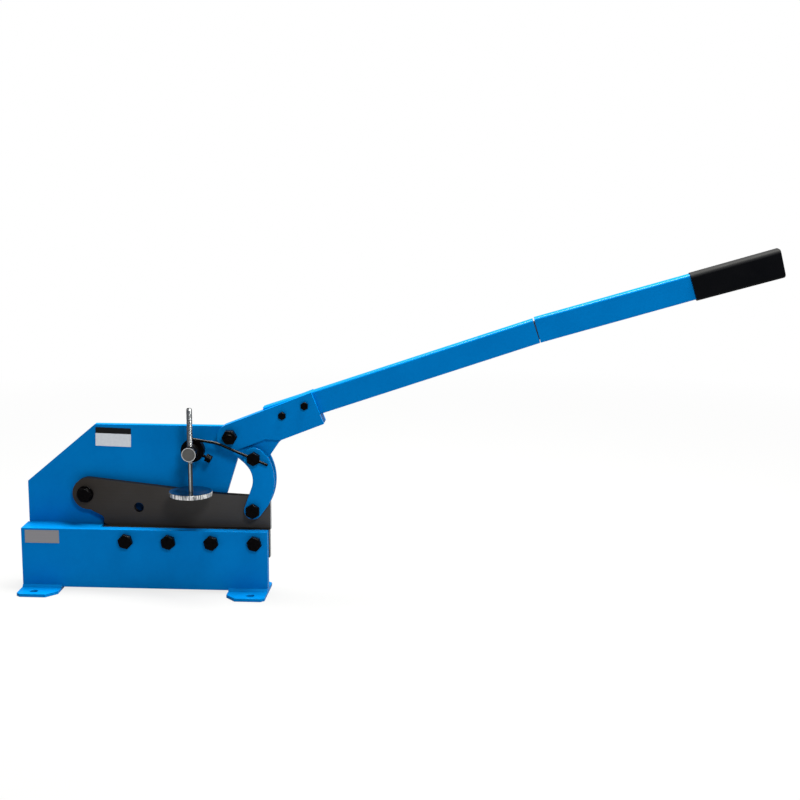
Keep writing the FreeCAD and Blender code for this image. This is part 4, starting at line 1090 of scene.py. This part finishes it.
def weldBead(start):
    offset = weldLook["offset"] * mm
    root = (start, weldHigh.y - offset, weldLow.z + offset)
    bpy.ops.object.select_all(action="DESELECT")
    bpy.ops.mesh.primitive_circle_add(
        vertices=4, radius=weldLook["leg"] * mm, fill_type="NGON", location=root, rotation=alongX)
    bead = bpy.context.object
    settle(bead)
    bpy.ops.object.mode_set(mode="EDIT")
    bpy.ops.mesh.select_all(action="SELECT")
    ripples = int(weldLook["length"] / weldLook["ripple"])
    for number in range(ripples):
        grow = 1 / weldLook["swell"] if number % 2 else weldLook["swell"]
        bpy.ops.mesh.extrude_region_move(
            TRANSFORM_OT_translate={"value": (weldLook["ripple"] * mm, 0, 0)})
        bpy.ops.transform.resize(value=(1, grow, grow), center_override=root)
    bpy.ops.mesh.select_all(action="SELECT")
    bpy.ops.mesh.normals_make_consistent(inside=False)
    bpy.ops.object.mode_set(mode="OBJECT")
    return bead


leftBead = weldBead(weldLow.x)
rightBead = repeated(leftBead, weldHigh.x - weldLow.x - weldLook["length"] * mm)
hand(joined("footWelds", [leftBead, rightBead]), "foot_welds", angle=60)
print("grip and welds made")


# Floor, light and camera

studio = {
    "world": 0.10,
    "floorSize": 60,
    "floor": colour(0.36, 0.36, 0.38),
    "floorCentre": (0.4, 0, 0),
    "floorWhite": (0.7, 2.6, 0.80, 1.0),    # from and to these metres out, from and to these shares
    "lamps": [              # name, place, aim, size, watts, colour
        ("topLamp", (0.55, 0.4, 2.7), (0.35, 0.05, 0.2), (2.4, 1.0), 270, (1.0, 1.0, 0.90)),
        ("frontLamp", (1.25, -2.6, 2.2), (0.35, 0.05, 0.25), (0.7, 0.7), 52, (1.0, 1.0, 1.0)),
    ],
}

bpy.ops.object.select_all(action="DESELECT")
bpy.ops.mesh.primitive_plane_add(size=studio["floorSize"], location=(0, 0, 0))
floor = bpy.context.object
floor.name = "studioFloor"
floorFinish = Finish("paleFloor", Base_Color=studio["floor"], Roughness=0.9, Specular_IOR_Level=0.0)
seen = floorFinish.add("ShaderNodeLightPath", output="Is Camera Ray")
mirrored = floorFinish.add("ShaderNodeLightPath", output="Is Glossy Ray")
glow = floorFinish.add("ShaderNodeEmission", {}, {"Color": colour(1, 1, 1), "Strength": 1.0})
outwards = floorFinish.radial(studio["floorCentre"], (1, 1, 0))
share = (floorFinish.add("ShaderNodeMath", {"operation": "MAXIMUM"}, {0: seen, 1: mirrored})
         * floorFinish.spread(outwards, *studio["floorWhite"]))
floorMix = floorFinish.add("ShaderNodeMixShader", {}, {0: share, 2: glow})
floorFinish.tree.links.new(floorFinish.shader.outputs[0], floorMix.socket.node.inputs[1])
floorFinish.tree.links.new(floorMix.socket, floorFinish.tree.nodes["Material Output"].inputs["Surface"])
floor.data.materials.append(floorFinish.material)

world = bpy.data.worlds.new("studioWorld")
bpy.context.scene.world = world
world.use_nodes = True
worldNodes = world.node_tree
background = worldNodes.nodes["Background"]
background.inputs["Color"].default_value = colour(1, 1, 1)
background.inputs["Strength"].default_value = studio["world"]
white = worldNodes.nodes.new("ShaderNodeBackground")
white.inputs["Color"].default_value = colour(1, 1, 1)
white.inputs["Strength"].default_value = 1.0
path = worldNodes.nodes.new("ShaderNodeLightPath")
skyMix = worldNodes.nodes.new("ShaderNodeMixShader")
worldNodes.links.new(path.outputs["Is Camera Ray"], skyMix.inputs[0])
worldNodes.links.new(background.outputs[0], skyMix.inputs[1])
worldNodes.links.new(white.outputs[0], skyMix.inputs[2])
worldNodes.links.new(skyMix.outputs[0], worldNodes.nodes["World Output"].inputs["Surface"])


for lampName, place, aim, span, power, tint in studio["lamps"]:
    bpy.ops.object.select_all(action="DESELECT")
    bpy.ops.object.light_add(type="AREA", location=place)
    lamp = bpy.context.object
    lamp.name = lampName
    lamp.data.shape = "RECTANGLE"
    lamp.data.size, lamp.data.size_y = span
    lamp.data.energy = power
    lamp.data.color = tint
    lamp.rotation_euler = (Vector(aim) - Vector(place)).to_track_quat("-Z", "Y").to_euler()

view = {
    "place": (637.6, -2744.4, 882.1),   # millimetres
    "yaw": 0.062,           # radians
    "pitch": 0.1847,
    "roll": -0.003,
    "lens": 72,
    "sensor": 36,
    "clipEnd": 100,         # metres
}
bpy.ops.object.select_all(action="DESELECT")
bpy.ops.object.camera_add(location=[number * mm for number in view["place"]])
camera = bpy.context.object
yaw, pitchDown, roll = view["yaw"], view["pitch"], view["roll"]
ahead = Vector((
    -math.sin(yaw) * math.cos(pitchDown), math.cos(yaw) * math.cos(pitchDown), -math.sin(pitchDown)))
level = Vector((math.cos(yaw), math.sin(yaw), 0))
down = ahead.cross(level)
rightward = math.cos(roll) * level + math.sin(roll) * down
downward = -math.sin(roll) * level + math.cos(roll) * down
camera.matrix_world = Matrix.Translation(camera.location) @ Matrix((
    (rightward.x, -downward.x, -ahead.x, 0),
    (rightward.y, -downward.y, -ahead.y, 0),
    (rightward.z, -downward.z, -ahead.z, 0),
    (0, 0, 0, 1)))
camera.data.lens = view["lens"]
camera.data.sensor_width = view["sensor"]
camera.data.clip_end = view["clipEnd"]
bpy.context.scene.camera = camera
bpy.context.scene.view_settings.view_transform = "Standard"
print("floor, light and camera set")
